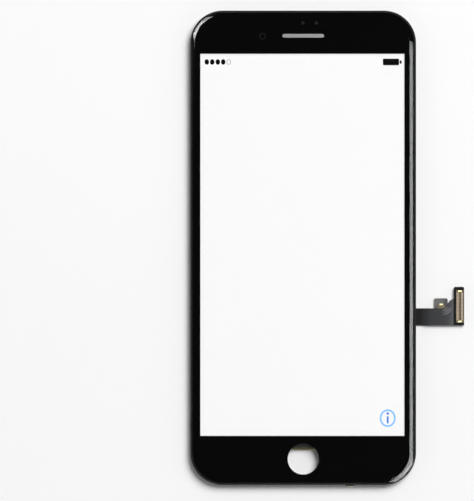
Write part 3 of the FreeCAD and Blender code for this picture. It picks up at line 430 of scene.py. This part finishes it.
def flex_tones_and_sheen(tree, color, tones):
    """Tones of a flex that change from place to place across the object; along the touch flex's tail they
    are painted sheen.
    """
    start, end = tones[0][0], tones[-1][0]
    run = remap(tree, coordinate(tree, "X"), 0.0, 1.0, start * MM, end * MM)
    share = ramp(tree, run, [((at - start) / (end - start), level) for at, level in tones])
    return blend(tree, share, scaled(color, TAIL_DARK), scaled(color, TAIL_LIGHT))


def flex_finish(name, color, along, tones, fold=None):
    """Flex: black cover film over fine copper tracks that stand out a little."""
    tree = new_paint(name)
    sockets = {"Vector": place(tree), "Scale": 1 / TRACK_PITCH, "Distortion": TRACK_WAVER, "Detail": 1.0,
               "Detail Scale": 0.3}
    tracks = node(tree, "ShaderNodeTexWave", sockets, bands_direction=along).outputs["Fac"]
    patches = remap(tree, noise(tree, 7.0, detail=1.0), 0.0, 1.0, 0.45, 0.6)
    tracks = calculated(tree, "MULTIPLY", tracks, patches)
    share = blend(tree, tracks, BLACK, (TRACK_SHARE,) * 3 + (1,))
    # On the touch flex's tail these tones are painted sheen.
    base = blend(tree, share, flex_tones_and_sheen(tree, color, tones), scaled(color, 1.5))
    if fold:
        base = blend(tree, remap(tree, coordinate(tree, "Y"), 1.0, 0.0, *fold), base, FOLD_COLOR)
    surface(tree, {
        "Base Color": base,
        "Roughness": remap(tree, noise(tree, 3.0), 0.38, 0.52),
        "Specular IOR Level": 0.1,
        "Normal": bump(tree, tracks, 0.004),
    })


def frame_finish():
    """Moulded frame: fine spark texture, grey on the back; near black round the glass, partly black
    plastic and partly painted shade.
    """
    tree = new_paint("frame_plastic")
    back = mottled(tree, srgb(68, 68, 70), vary=0.08, grain=0.2, cloud=9.0)
    front = mottled(tree, srgb(21, 21, 22), vary=0.1, grain=0.2, cloud=9.0)
    # Painted shade: the frame turns near black toward the glass, partly for the rim's black plastic.
    surface(tree, {
        "Base Color": blend(tree, remap(tree, coordinate(tree, "Z"), 0.0, 1.0, *FRAME_SHADE_FADE), back, front),
        "Roughness": remap(tree, noise(tree, 2.2), 0.48, 0.62),
        "Specular IOR Level": 0.2,
        "Normal": bump(tree, noise(tree, 0.09, detail=2.0), 0.004),
    })


def film_finish():
    """Red protective film with pressure marks: painted light makes it brighter toward its sides, in soft
    streaks.
    """
    tree = new_paint("red_film")
    # Painted light: the film lightens toward its sides, in soft streaks.
    away = calculated(tree, "ABSOLUTE", coordinate(tree, "X"))
    side = remap(tree, away, 0.0, 1.0, *FILM_LIGHT_FADE)
    light_streaks = remap(tree, noise(tree, 14.0, detail=2.0, stretch=(1, 0.35, 1)), -0.25, 0.25)
    side = calculated(tree, "ADD", side, light_streaks, clamp=True)
    color = blend(tree, side, srgb(176, 16, 12), srgb(232, 28, 16))
    marks = remap(tree, noise(tree, 2.2, detail=4.0, shift=(5, 2, 1)), 0.0, 0.35, 0.55, 0.72)
    surface(tree, {
        "Base Color": blend(tree, marks, color, srgb(158, 14, 11)),
        "Roughness": remap(tree, noise(tree, 4.0), 0.22, 0.4),
        "Specular IOR Level": 0.25,
        "Normal": bump(tree, noise(tree, 5.0, stretch=(1, 0.4, 1)), 0.03),
    })


def speckled(name, color, dark, size, edge):
    """Paper or foil label with small dark speckles; a higher edge leaves fewer of them."""
    tree = new_paint(name)
    specks = remap(tree, noise(tree, size, detail=4.0), 0.0, 1.0, edge, edge + 0.08)
    base = mottled(tree, color, vary=0.06, grain=0.5, cloud=6.0)
    surface(tree, {
        "Base Color": blend(tree, specks, base, dark),
        "Roughness": remap(tree, noise(tree, 1.5), 0.4, 0.6),
        "Normal": bump(tree, noise(tree, size * 1.5), 0.006),
    })


def front_materials():
    """Glass, print, frame and the small pieces of the front."""
    clear("cover_glass", share=1.0, rough=0.06)
    clear("clear_adhesive", share=0.15, rough=0.3)
    finish("black_print", srgb(11, 11, 12), vary=0.03, rough=(0.55, 0.65), relief=0.0, shine=0.0)
    finish("black_glue", srgb(24, 24, 25), rough=(0.55, 0.7))
    screen_light()
    frame_finish()
    finish("insert_metal", srgb(236, 234, 230), vary=0.05, grain=0.08, cloud=2.0, metallic=0.55,
           rough=(0.25, 0.35))
    finish("ear_mesh", srgb(178, 178, 180), vary=0.05, metallic=0.3, rough=(0.4, 0.5), shine=0.3)
    finish("grey_foam", srgb(136, 136, 138), vary=0.2, grain=0.12, rough=(0.8, 0.9), relief=0.03,
           relief_grain=0.18)
    finish("camera_ring", srgb(28, 28, 30), rough=(0.3, 0.4), shine=0.1)
    finish("sensor_filter", srgb(35, 34, 28), rough=(0.2, 0.3), shine=0.1)


def module_materials():
    """Layers of the display module and the films on its back."""
    finish("panel_glass", srgb(120, 128, 132), rough=(0.08, 0.15))
    finish("polarizer", srgb(92, 94, 98), rough=(0.3, 0.4))
    finish("chip", srgb(60, 60, 64), rough=(0.2, 0.3))
    finish("optical_film", srgb(226, 228, 230), vary=0.03, rough=(0.3, 0.5))
    finish("light_guide", srgb(222, 230, 232), vary=0.02, rough=(0.1, 0.2))
    finish("reflector", srgb(238, 238, 238), vary=0.02, rough=(0.4, 0.5))
    finish("amber_film", srgb(190, 130, 50), rough=(0.3, 0.4))
    finish("lamp", srgb(236, 222, 150), vary=0.05, rough=(0.2, 0.3))
    finish("white_plastic", srgb(222, 214, 206), vary=0.05, rough=(0.45, 0.6))
    finish("tray_metal", srgb(176, 166, 156), vary=0.1, metallic=0.6, rough=(0.35, 0.5),
           stretch=(0.08, 1, 1))
    film_finish()
    finish("white_tape", srgb(238, 226, 220), vary=0.04, rough=(0.45, 0.6), relief=0.004)
    speckled("silver_label", srgb(218, 216, 216), srgb(168, 166, 166), size=0.45, edge=0.55)
    speckled("white_label", srgb(236, 222, 220), srgb(214, 198, 196), size=0.9, edge=0.58)
    finish("black_dots", srgb(34, 34, 34), rough=(0.5, 0.7))


def flex_materials():
    """Flexes and what is fixed on them."""
    flex_finish("display_flex", srgb(48, 48, 48), "Y", TAB_TONES, FOLD_FADE)
    flex_finish("touch_flex", srgb(47, 48, 50), "X", TAIL_SHEEN_TONES)
    # Painted highlight: the creases are light grey where the flex's bends catch the light.
    finish("crease_highlight", srgb(112, 112, 114), rough=(0.35, 0.45), shine=0.3)
    finish("flex_glue", srgb(80, 78, 74), rough=(0.5, 0.7))
    speckled("beige_pad", srgb(206, 194, 176), srgb(176, 164, 146), size=0.6, edge=0.58)
    finish("stiffener", srgb(74, 76, 74), stretch=(0.2, 1, 1))
    metal("grey_stiffener", srgb(168, 164, 156), rough=(0.4, 0.5), stretch=BRUSHED)
    finish("connector_plastic", srgb(118, 106, 82), vary=0.08, rough=(0.4, 0.55), shine=0.2)
    finish("tan_contacts", srgb(180, 162, 144), vary=0.1, metallic=0.35, rough=(0.35, 0.5))
    metal("gold", srgb(246, 234, 176), rough=(0.3, 0.45))
    finish("pale_component", srgb(206, 202, 196))
    finish("dark_component", srgb(54, 54, 56), rough=(0.3, 0.45))


def edge_materials():
    """Foam, tape and contacts at the ends of the back."""
    finish("black_foam", srgb(26, 26, 26), vary=0.3, grain=0.12, rough=(0.85, 0.95), relief=0.03,
           relief_grain=0.16)
    finish("yellow_tape", srgb(250, 184, 48), vary=0.05, rough=(0.25, 0.38), coat=0.2)
    metal("silver_contact", srgb(206, 206, 208), rough=(0.2, 0.3), stretch=BRUSHED)
    finish("black_rubber", srgb(36, 36, 36), rough=(0.6, 0.75))


def paint_nodes():
    """Gives each CAD node the material of its slot."""
    for name, made in NODES.items():
        made.data.materials.clear()
        made.data.materials.append(PAINTS[SLOT_OF[name]])


# Meshes

def link(name, data):
    """A new object of the scene."""
    made = bpy.data.objects.new(name, data)
    bpy.context.scene.collection.objects.link(made)
    return made


def to_mesh(shape, name):
    """Turns a finished shape into a mesh."""
    mesh = bpy.data.meshes.new(name)
    shape.to_mesh(mesh)
    shape.free()
    return mesh


def new_piece(name, shape, slot, stands_for=(), paint=None, smooth=SHARP_EDGE):
    """Links a finished shape as a piece of the object, in its slot's material or in another paint."""
    bmesh.ops.recalc_face_normals(shape, faces=shape.faces)
    mesh = to_mesh(shape, name)
    for face in mesh.polygons:
        face.use_smooth = abs(face.normal.z) < LEVEL
    mesh.set_sharp_from_angle(angle=math.radians(smooth))
    piece = link(name, mesh)
    piece.data.materials.append(PAINTS[paint or slot])
    if stands_for:
        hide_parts(*stands_for)
    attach(piece, BODY)


def ellipse(center, radii, steps):
    points = []
    for step in range(steps):
        turn = 2 * math.pi * step / steps
        points.append((center[0] + radii[0] * math.cos(turn), center[1] + radii[1] * math.sin(turn)))
    return points


def circle(center, radius, steps):
    return ellipse(center, (radius, radius), steps)


def divided(outline, step):
    """The same outline with its long straight runs cut into even lengths."""
    points = []
    for index, (x, y) in enumerate(outline):
        next_x, next_y = outline[(index + 1) % len(outline)]
        parts = max(1, round(math.hypot(next_x - x, next_y - y) / step))
        for part in range(parts):
            points.append((x + (next_x - x) * part / parts, y + (next_y - y) * part / parts))
    return points


def rounded(low, high, radius, steps):
    """Outline of a rectangle with round corners."""
    points = []
    corners = ((high[0], high[1], 0), (low[0], high[1], 1), (low[0], low[1], 2), (high[0], low[1], 3))
    for x, y, quarter in corners:
        inward = (-1 if quarter in (0, 3) else 1, -1 if quarter in (0, 1) else 1)
        middle = (x + inward[0] * radius, y + inward[1] * radius)
        for step in range(steps + 1):
            turn = math.pi / 2 * (quarter + step / steps)
            points.append((middle[0] + radius * math.cos(turn), middle[1] + radius * math.sin(turn)))
    return points


def slot_outline(center, half):
    """Outline of a level slot with round ends."""
    middle = Vector(center)
    return rounded(middle - half, middle + half, half.y * ROUND_END, EAR_STEPS)


def ring(shape, outline, height):
    """A level loop of vertices."""
    return [shape.verts.new((x, y, height)) for x, y in outline]


def bridge(shape, first, second):
    """The wall between two loops with as many vertices."""
    count = len(first)
    for index in range(count):
        following = (index + 1) % count
        shape.faces.new((first[index], first[following], second[following], second[index]))


def rod(shape, loops):
    """Walls from loop to loop, and a face at each end."""
    for first, second in zip(loops, loops[1:]):
        bridge(shape, first, second)
    shape.faces.new(loops[0])
    shape.faces.new(loops[-1])


def cap(shape, *loops):
    """A flat face between an outer loop and the loops of its openings."""
    edges = []
    for loop in loops:
        for index, vert in enumerate(loop):
            pair = (vert, loop[(index + 1) % len(loop)])
            edges.append(shape.edges.get(pair) or shape.edges.new(pair))
    bmesh.ops.triangle_fill(shape, edges=edges, use_beauty=True)


def prism(shape, outline, low, high, hole=None):
    """A flat plate with this outline and perhaps an opening."""
    bottoms, tops = [], []
    for wall in (outline, hole) if hole else (outline,):
        bottom, top = ring(shape, wall, low), ring(shape, wall, high)
        bridge(shape, bottom, top)
        bottoms.append(bottom)
        tops.append(top)
    cap(shape, *bottoms)
    cap(shape, *tops)


# Cover glass

def glass_outline(inset):
    """Outline of the glass, this far in from its edge."""
    low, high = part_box("cover_glass")
    side = rounded((low.x, low.y), (high.x, high.y), CORNER_RADIUS, CORNER_STEPS)
    share = 1 - inset / CORNER_RADIUS
    points = []
    for x, y in divided(side, EDGE_RUN):
        middle_x = max(low.x + CORNER_RADIUS, min(high.x - CORNER_RADIUS, x))
        middle_y = max(low.y + CORNER_RADIUS, min(high.y - CORNER_RADIUS, y))
        points.append((middle_x + (x - middle_x) * share, middle_y + (y - middle_y) * share))
    return points


def ear_outline(grow):
    """Outline of the ear slot, this much wider all round."""
    return slot_outline(EAR_CENTER, Vector((EAR_SIZE[0] / 2 + grow, EAR_SIZE[1] / 2 + grow)))


def home_outline(grow):
    """Outline of the home button's opening, this much wider all round."""
    return circle(HOME_CENTER, HOME_RADIUS + grow, HOME_STEPS)


def cover_glass():
    """The glass with its curved edge and its two openings, just clear of the print under it."""
    low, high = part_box("cover_glass")
    low.z += GLASS_LIFT
    shape = bmesh.new()
    bottom = ring(shape, glass_outline(0), low.z)
    last = bottom
    for step in range(EDGE_STEPS + 1):
        inset = EDGE_WIDTH * step / EDGE_STEPS
        height = high.z - EDGE_DROP * ((EDGE_WIDTH - inset) / EDGE_WIDTH) ** 2
        following = ring(shape, glass_outline(inset), height)
        bridge(shape, last, following)
        last = following
    tops, floors = [last], [bottom]
    for outline in (home_outline, ear_outline):
        mouth = ring(shape, outline(CHAMFER), high.z)
        throat = ring(shape, outline(0), high.z - CHAMFER)
        foot = ring(shape, outline(0), low.z)
        bridge(shape, mouth, throat)
        bridge(shape, throat, foot)
        tops.append(mouth)
        floors.append(foot)
    cap(shape, *tops)
    cap(shape, *floors)
    new_piece("glass_with_curved_edge", shape, "cover_glass", ["cover_glass"])


def home_ink():
    """Black ink on the wall of the home button's opening."""
    low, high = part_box("cover_glass")
    shape = bmesh.new()
    prism(shape, home_outline(0), low.z, high.z - CHAMFER, home_outline(-INK_THICK))
    new_piece("home_opening_ink", shape, "black_print")


# Signs on the lit screen

def oval_frame(shape, center, radii, line, steps, low, high):
    """An open oval drawn with a line of this width."""
    inner = [radius - line for radius in radii]
    prism(shape, ellipse(center, radii, steps), low, high, ellipse(center, inner, steps))


def screen_signs():
    """Signal dots, a battery and an information mark, a little proud of the screen."""
    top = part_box("front_polarizer")[1].z
    low, high = top - SIGN_SINK, top - SIGN_SINK + SIGN_HEIGHT
    glow_sign("sign_black", srgb(6, 6, 7))
    glow_sign("sign_grey", srgb(150, 150, 152))
    glow_sign("sign_pale_blue", srgb(120, 178, 235))
    glow_sign("sign_blue", srgb(62, 118, 205))

    shape = bmesh.new()
    for x in SIGNAL_X:
        prism(shape, ellipse((x, SIGNAL_Y), SIGNAL_RADII, SIGNAL_STEPS), low, high)
    new_piece("sign_signal_dots", shape, "screen_white", paint="sign_black")

    shape = bmesh.new()
    oval_frame(shape, (SIGNAL_EMPTY_X, SIGNAL_Y), SIGNAL_RADII, SIGNAL_LINE, SIGNAL_STEPS, low, high)
    new_piece("sign_signal_ring", shape, "screen_white", paint="sign_grey")

    shape = bmesh.new()
    prism(shape, rounded(BATTERY_LOW, BATTERY_HIGH, BATTERY_CORNER, SIGN_CORNER_STEPS), low, high)
    prism(shape, rounded(NUB_LOW, NUB_HIGH, NUB_CORNER, SIGN_CORNER_STEPS), low, high)
    new_piece("sign_battery", shape, "screen_white", paint="sign_black")

    shape = bmesh.new()
    oval_frame(shape, INFO_CENTER, INFO_RADII, INFO_LINE, INFO_STEPS, low, high)
    new_piece("sign_info_ring", shape, "screen_white", paint="sign_pale_blue")

    shape = bmesh.new()
    prism(shape, rounded(INFO_STEM_LOW, INFO_STEM_HIGH, INFO_STEM_CORNER, SIGN_CORNER_STEPS), low, high)
    prism(shape, circle((INFO_CENTER[0], INFO_DOT_Y), INFO_DOT_RADIUS, INFO_DOT_STEPS), low, high)
    new_piece("sign_info_mark", shape, "screen_white", paint="sign_blue")


# Earpiece mesh

def tube(shape, points, across):
    """A wire through these points; across is level and square to the wire's run."""
    loops = []
    for point in points:
        loop = []
        for side in range(WIRE_SIDES):
            turn = 2 * math.pi * side / WIRE_SIDES
            offset = across * math.cos(turn) + Vector((0, 0, 1)) * math.sin(turn)
            loop.append(shape.verts.new(point + offset * WIRE_RADIUS))
        loops.append(loop)
    rod(shape, loops)


def slot_reach(offset, length, width, along):
    """Half the length of a wire that lies this far from the middle of a round-ended slot."""
    radius = width / 2
    if along:
        return length / 2 - radius + math.sqrt(max(0.0, radius ** 2 - offset ** 2))
    past = max(0.0, abs(offset) - (length / 2 - radius))
    return math.sqrt(max(0.0, radius ** 2 - past ** 2))


def wires(shape, middle, length, width, height):
    """Wires along and across the slot, each passing over and under the others in turn."""
    for along in (True, False):
        spread = width if along else length
        count = int(spread / WIRE_PITCH / 2)
        for index in range(-count, count + 1):
            offset = index * WIRE_PITCH
            reach = slot_reach(offset, length, width, along)
            steps = int(2 * reach / WIRE_PITCH * STEPS_PER_WIRE)
            if steps < STEPS_PER_WIRE:
                continue
            points = []
            for step in range(steps + 1):
                at = -reach + 2 * reach * step / steps
                phase = math.pi * (at / WIRE_PITCH + index + (0 if along else 1))
                lift = height + WIRE_RADIUS * math.cos(phase)
                x, y = (at, offset) if along else (offset, at)
                points.append(Vector((middle[0] + x, middle[1] + y, lift)))
            tube(shape, points, Vector((0, 1, 0)) if along else Vector((1, 0, 0)))


def earpiece():
    """Woven wire held in a pressed rim, on the plate that goes under the glass."""
    low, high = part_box("earpiece_mesh")
    flange_top = min(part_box("frame_adhesive")[1].z, high.z)
    rim_foot = high.z - 3 * WIRE_RADIUS
    half = Vector(((high.x - low.x) / 2, (high.y - low.y) / 2))
    outer, inner = ear_outline(-MESH_MARGIN), ear_outline(-MESH_MARGIN - MESH_RIM)
    shape = bmesh.new()
    prism(shape, slot_outline(EAR_CENTER, half), low.z, flange_top)
    prism(shape, outer, flange_top, rim_foot)
    prism(shape, outer, rim_foot, high.z, inner)
    reach = MESH_MARGIN + MESH_RIM / 2
    wires(shape, EAR_CENTER, EAR_SIZE[0] - 2 * reach, EAR_SIZE[1] - 2 * reach, high.z - 2 * WIRE_RADIUS)
    new_piece("earpiece_woven", shape, "ear_mesh", ["earpiece_mesh"])


# Marks and films

def tail_creases():
    """Curved creases where the tail's web turns up to its end plate; their light grey is painted
    highlight.
    """
    middle = Vector((*CREASE_CENTER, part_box("connector_main")[0].z))
    shape = bmesh.new()
    for radius in CREASE_RADII:
        loops = []
        for step in range(CREASE_STEPS + 1):
            share = step / CREASE_STEPS
            turn = math.radians(CREASE_TURN[0] + (CREASE_TURN[1] - CREASE_TURN[0]) * share)
            taper = math.sin(math.pi * share)
            width = max(taper, CREASE_TIP)
            out = Vector((math.cos(turn), math.sin(turn), 0))
            ridge = ((-CREASE_HALF, 0), (0, CREASE_HEIGHT * taper), (CREASE_HALF, 0), (0, -CREASE_SINK))
            loop = []
            for across, up in ridge:
                loop.append(shape.verts.new(middle + out * (radius + across * width) + Vector((0, 0, up))))
            loops.append(loop)
        rod(shape, loops)
    new_piece("tail_creases", shape, "touch_flex", paint="crease_highlight", smooth=SHARP_CREASE)


def film_mark():
    """Small dark mark on the red film of the back."""
    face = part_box("red_film")[0].z
    shape = bmesh.new()
    prism(shape, ellipse(MARK_CENTER, MARK_RADII, MARK_STEPS), face - MARK_THICK, face + MARK_SINK)
    new_piece("film_mark", shape, "black_dots")


def camera_opening_shade():
    """Black disc over the camera's opening, resting on its ring: painted shade for the dark of the
    opening.
    """
    low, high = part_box("camera_ring")
    middle = (low + high) / 2
    shape = bmesh.new()
    # Painted shade: a black disc where the opening is dark.
    outline = circle((middle.x, middle.y), CAMERA_SHADE_RADIUS, CAMERA_SHADE_STEPS)
    prism(shape, outline, high.z, high.z + CAMERA_SHADE_THICK)
    new_piece("camera_opening_shade_disc", shape, "black_print")


# Screw inserts

def islands(name):
    """The box of each separate solid in a CAD node."""
    shape = bmesh.new()
    shape.from_mesh(NODES[name].data)
    bmesh.ops.remove_doubles(shape, verts=shape.verts, dist=WELD)
    boxes, left = [], set(shape.verts)
    while left:
        reached, queue = set(), [left.pop()]
        while queue:
            vert = queue.pop()
            reached.add(vert)
            for edge in vert.link_edges:
                other = edge.other_vert(vert)
                if other in left:
                    left.remove(other)
                    queue.append(other)
        corners = [vert.co for vert in reached]
        low = Vector([min(co[axis] for co in corners) for axis in range(3)])
        high = Vector([max(co[axis] for co in corners) for axis in range(3)])
        boxes.append((low, high))
    shape.free()
    return sorted(boxes, key=lambda box: (round(box[0].x, 5), round(box[0].y, 5)))


def insert_profile(radius, low, high):
    """Radius and height round the wall of a turned insert, threaded in the middle."""
    points = [
        (INSERT_HOLE + INSERT_CHAMFER, low),
        (radius - INSERT_CHAMFER, low),
        (radius, low + INSERT_CHAMFER / 2),
        (radius, high),
        (INSERT_HOLE, high),
    ]
    turns = max(1, int((high - low - INSERT_CHAMFER) / THREAD_PITCH))
    for turn in range(turns, 0, -1):
        foot = low + INSERT_CHAMFER + (turn - 1) * THREAD_PITCH
        points.append((INSERT_HOLE + THREAD_DEPTH, foot + THREAD_PITCH / 2))
        points.append((INSERT_HOLE, foot))
    return points


def turned(shape, middle, profile):
    """A round body with a closed profile of radius and height."""
    loops = [ring(shape, circle(middle, radius, TURN_STEPS), height) for radius, height in profile]
    for first, second in zip(loops, loops[1:] + loops[:1]):
        bridge(shape, first, second)


def screw_inserts():
    """Threaded inserts, and the dark floor at the closed end of each."""
    bodies, wells = bmesh.new(), bmesh.new()
    for low, high in islands("screw_inserts"):
        center = ((low + high) / 2).to_2d()
        turned(bodies, center, insert_profile((high.x - low.x) / 2, low.z, high.z))
        prism(wells, circle(center, INSERT_HOLE, TURN_STEPS), high.z - WELL_THICK, high.z)
    new_piece("turned_inserts", bodies, "insert_metal", ["screw_inserts"], smooth=SHARP_INSERT)
    new_piece("insert_wells", wells, "black_glue")


# Stage

def floor():
    """Pale floor, open from below so that the back of the object can be seen too."""
    shape = bmesh.new()
    outline = [(-FLOOR_HALF, -FLOOR_HALF), (FLOOR_HALF, -FLOOR_HALF), (FLOOR_HALF, FLOOR_HALF),
               (-FLOOR_HALF, FLOOR_HALF)]
    shape.faces.new(ring(shape, outline, cad_low.z - FLOOR_GAP))
    made = link("floor", to_mesh(shape, "floor"))
    tree = new_paint("floor")
    color = srgb(FLOOR_LEVEL, FLOOR_LEVEL, FLOOR_LEVEL)
    front = node(tree, "ShaderNodeBsdfPrincipled", {
        "Base Color": blend(tree, noise(tree, FLOOR_CLOUD), scaled(color, 0.99), scaled(color, 1.01)),
        "Roughness": 0.9,
        "Specular IOR Level": 0.0,
        "Emission Color": WHITE,
        "Emission Strength": FLOOR_GLOW,
    })
    behind = node(tree, "ShaderNodeNewGeometry").outputs["Backfacing"]
    layered(tree, behind, front, node(tree, "ShaderNodeBsdfTransparent"))
    made.data.materials.append(PAINTS["floor"])
    made.visible_diffuse = False
    made.visible_glossy = False
    made.visible_shadow = False


def world():
    """White to the camera; as a light, pale walls all round, a dark ceiling and a grey floor."""
    made = bpy.data.worlds.new("studio")
    bpy.context.scene.world = made
    made.use_nodes = True
    tree = made.node_tree
    tree.nodes.clear()
    rays = node(tree, "ShaderNodeLightPath").outputs
    direction = node(tree, "ShaderNodeTexCoord").outputs["Generated"]
    up = node(tree, "ShaderNodeSeparateXYZ", {0: direction}).outputs["Z"]
    room = remap(tree, up, SIDE_LIGHT, TOP_LIGHT, *CEILING_FADE)
    level = between(tree, remap(tree, up, 0.0, 1.0, *HORIZON_FADE), UNDER_LIGHT, room)
    mirrored = calculated(tree, "MULTIPLY", level, remap(tree, up, GLOSS_SHARE, 0.0, *GLOSS_FADE))
    level = between(tree, rays["Is Glossy Ray"], level, mirrored)
    seen = calculated(tree, "MAXIMUM", rays["Is Camera Ray"], rays["Is Transmission Ray"])
    level = between(tree, seen, level, 1.0)
    backdrop = node(tree, "ShaderNodeBackground", {"Color": WHITE, "Strength": level})
    node(tree, "ShaderNodeOutputWorld", {"Surface": backdrop.outputs[0]})


def lamp(name, place_at, target, size, watts, diffuse=True, glossy=True):
    """A rectangular lamp that points at its target."""
    data = bpy.data.lights.new(name, "AREA")
    data.shape = "RECTANGLE"
    data.size, data.size_y = size
    data.energy = watts
    made = link(name, data)
    made.location = place_at
    made.rotation_euler = (Vector(target) - Vector(place_at)).to_track_quat("-Z", "Y").to_euler()
    made.visible_camera = False
    made.visible_diffuse = diffuse
    made.visible_glossy = glossy
    made.visible_transmission = False


def soft_box(name, place_at, target, size, radiance):
    """A lamp that only glossy surfaces show."""
    lamp(name, place_at, target, size, watts=radiance * math.pi * size[0] * size[1], diffuse=False)


def toward(azimuth, polar, distance):
    """A point this far from the origin, in degrees round from +X and away from straight up."""
    turn, lean = math.radians(azimuth), math.radians(polar)
    flat = math.sin(lean)
    return Vector((flat * math.cos(turn), flat * math.sin(turn), math.cos(lean))) * distance


def lights():
    """Key from the far right, boxes for the bright edges of the glass, and a fill from below."""
    origin = (0, 0, 0)
    lower_right, upper_left = (0.03, -0.07, 0), (-0.03, 0.07, 0)
    strip_y = -0.125
    lamp("key", toward(azimuth=52, polar=40, distance=4.0), target=origin,
         size=(2.7, 2.7), watts=189.0, glossy=False)
    soft_box("strip_wide", (0.28, strip_y, 0.6), target=(0.28, strip_y, 0),
             size=(0.36, 0.45), radiance=2.2)
    soft_box("strip_core", (0.265, strip_y, 0.59), target=(0.265, strip_y, 0),
             size=(0.23, 0.45), radiance=5.0)
    soft_box("corner_glint", toward(azimuth=-48, polar=40, distance=0.8), target=lower_right,
             size=(0.5, 0.2), radiance=7.5)
    soft_box("left_glint", toward(azimuth=136, polar=35, distance=0.8), target=upper_left,
             size=(0.37, 0.28), radiance=7.0)
    soft_box("left_core", toward(azimuth=141, polar=35, distance=0.79), target=upper_left,
             size=(0.25, 0.14), radiance=11.0)
    lamp("under_fill", (0.1, -0.2, -1.2), target=origin,
         size=(0.8, 0.8), watts=9.0, glossy=False)


def camera():
    """The photograph's view, from straight above."""
    data = bpy.data.cameras.new("camera")
    made = link("camera", data)
    data.sensor_width = SENSOR
    data.lens = SENSOR * CAMERA_HEIGHT / VIEW_LENGTH
    data.clip_start, data.clip_end = CAMERA_CLIP
    made.location = VIEW_CENTER + Vector((0, 0, CAMERA_HEIGHT))
    bpy.context.scene.camera = made


bpy.context.scene.view_settings.view_transform = "Standard"
front_materials()
module_materials()
flex_materials()
edge_materials()
paint_nodes()
cover_glass()
home_ink()
screen_signs()
earpiece()
film_mark()
camera_opening_shade()
tail_creases()
screw_inserts()
floor()
world()
lights()
camera()
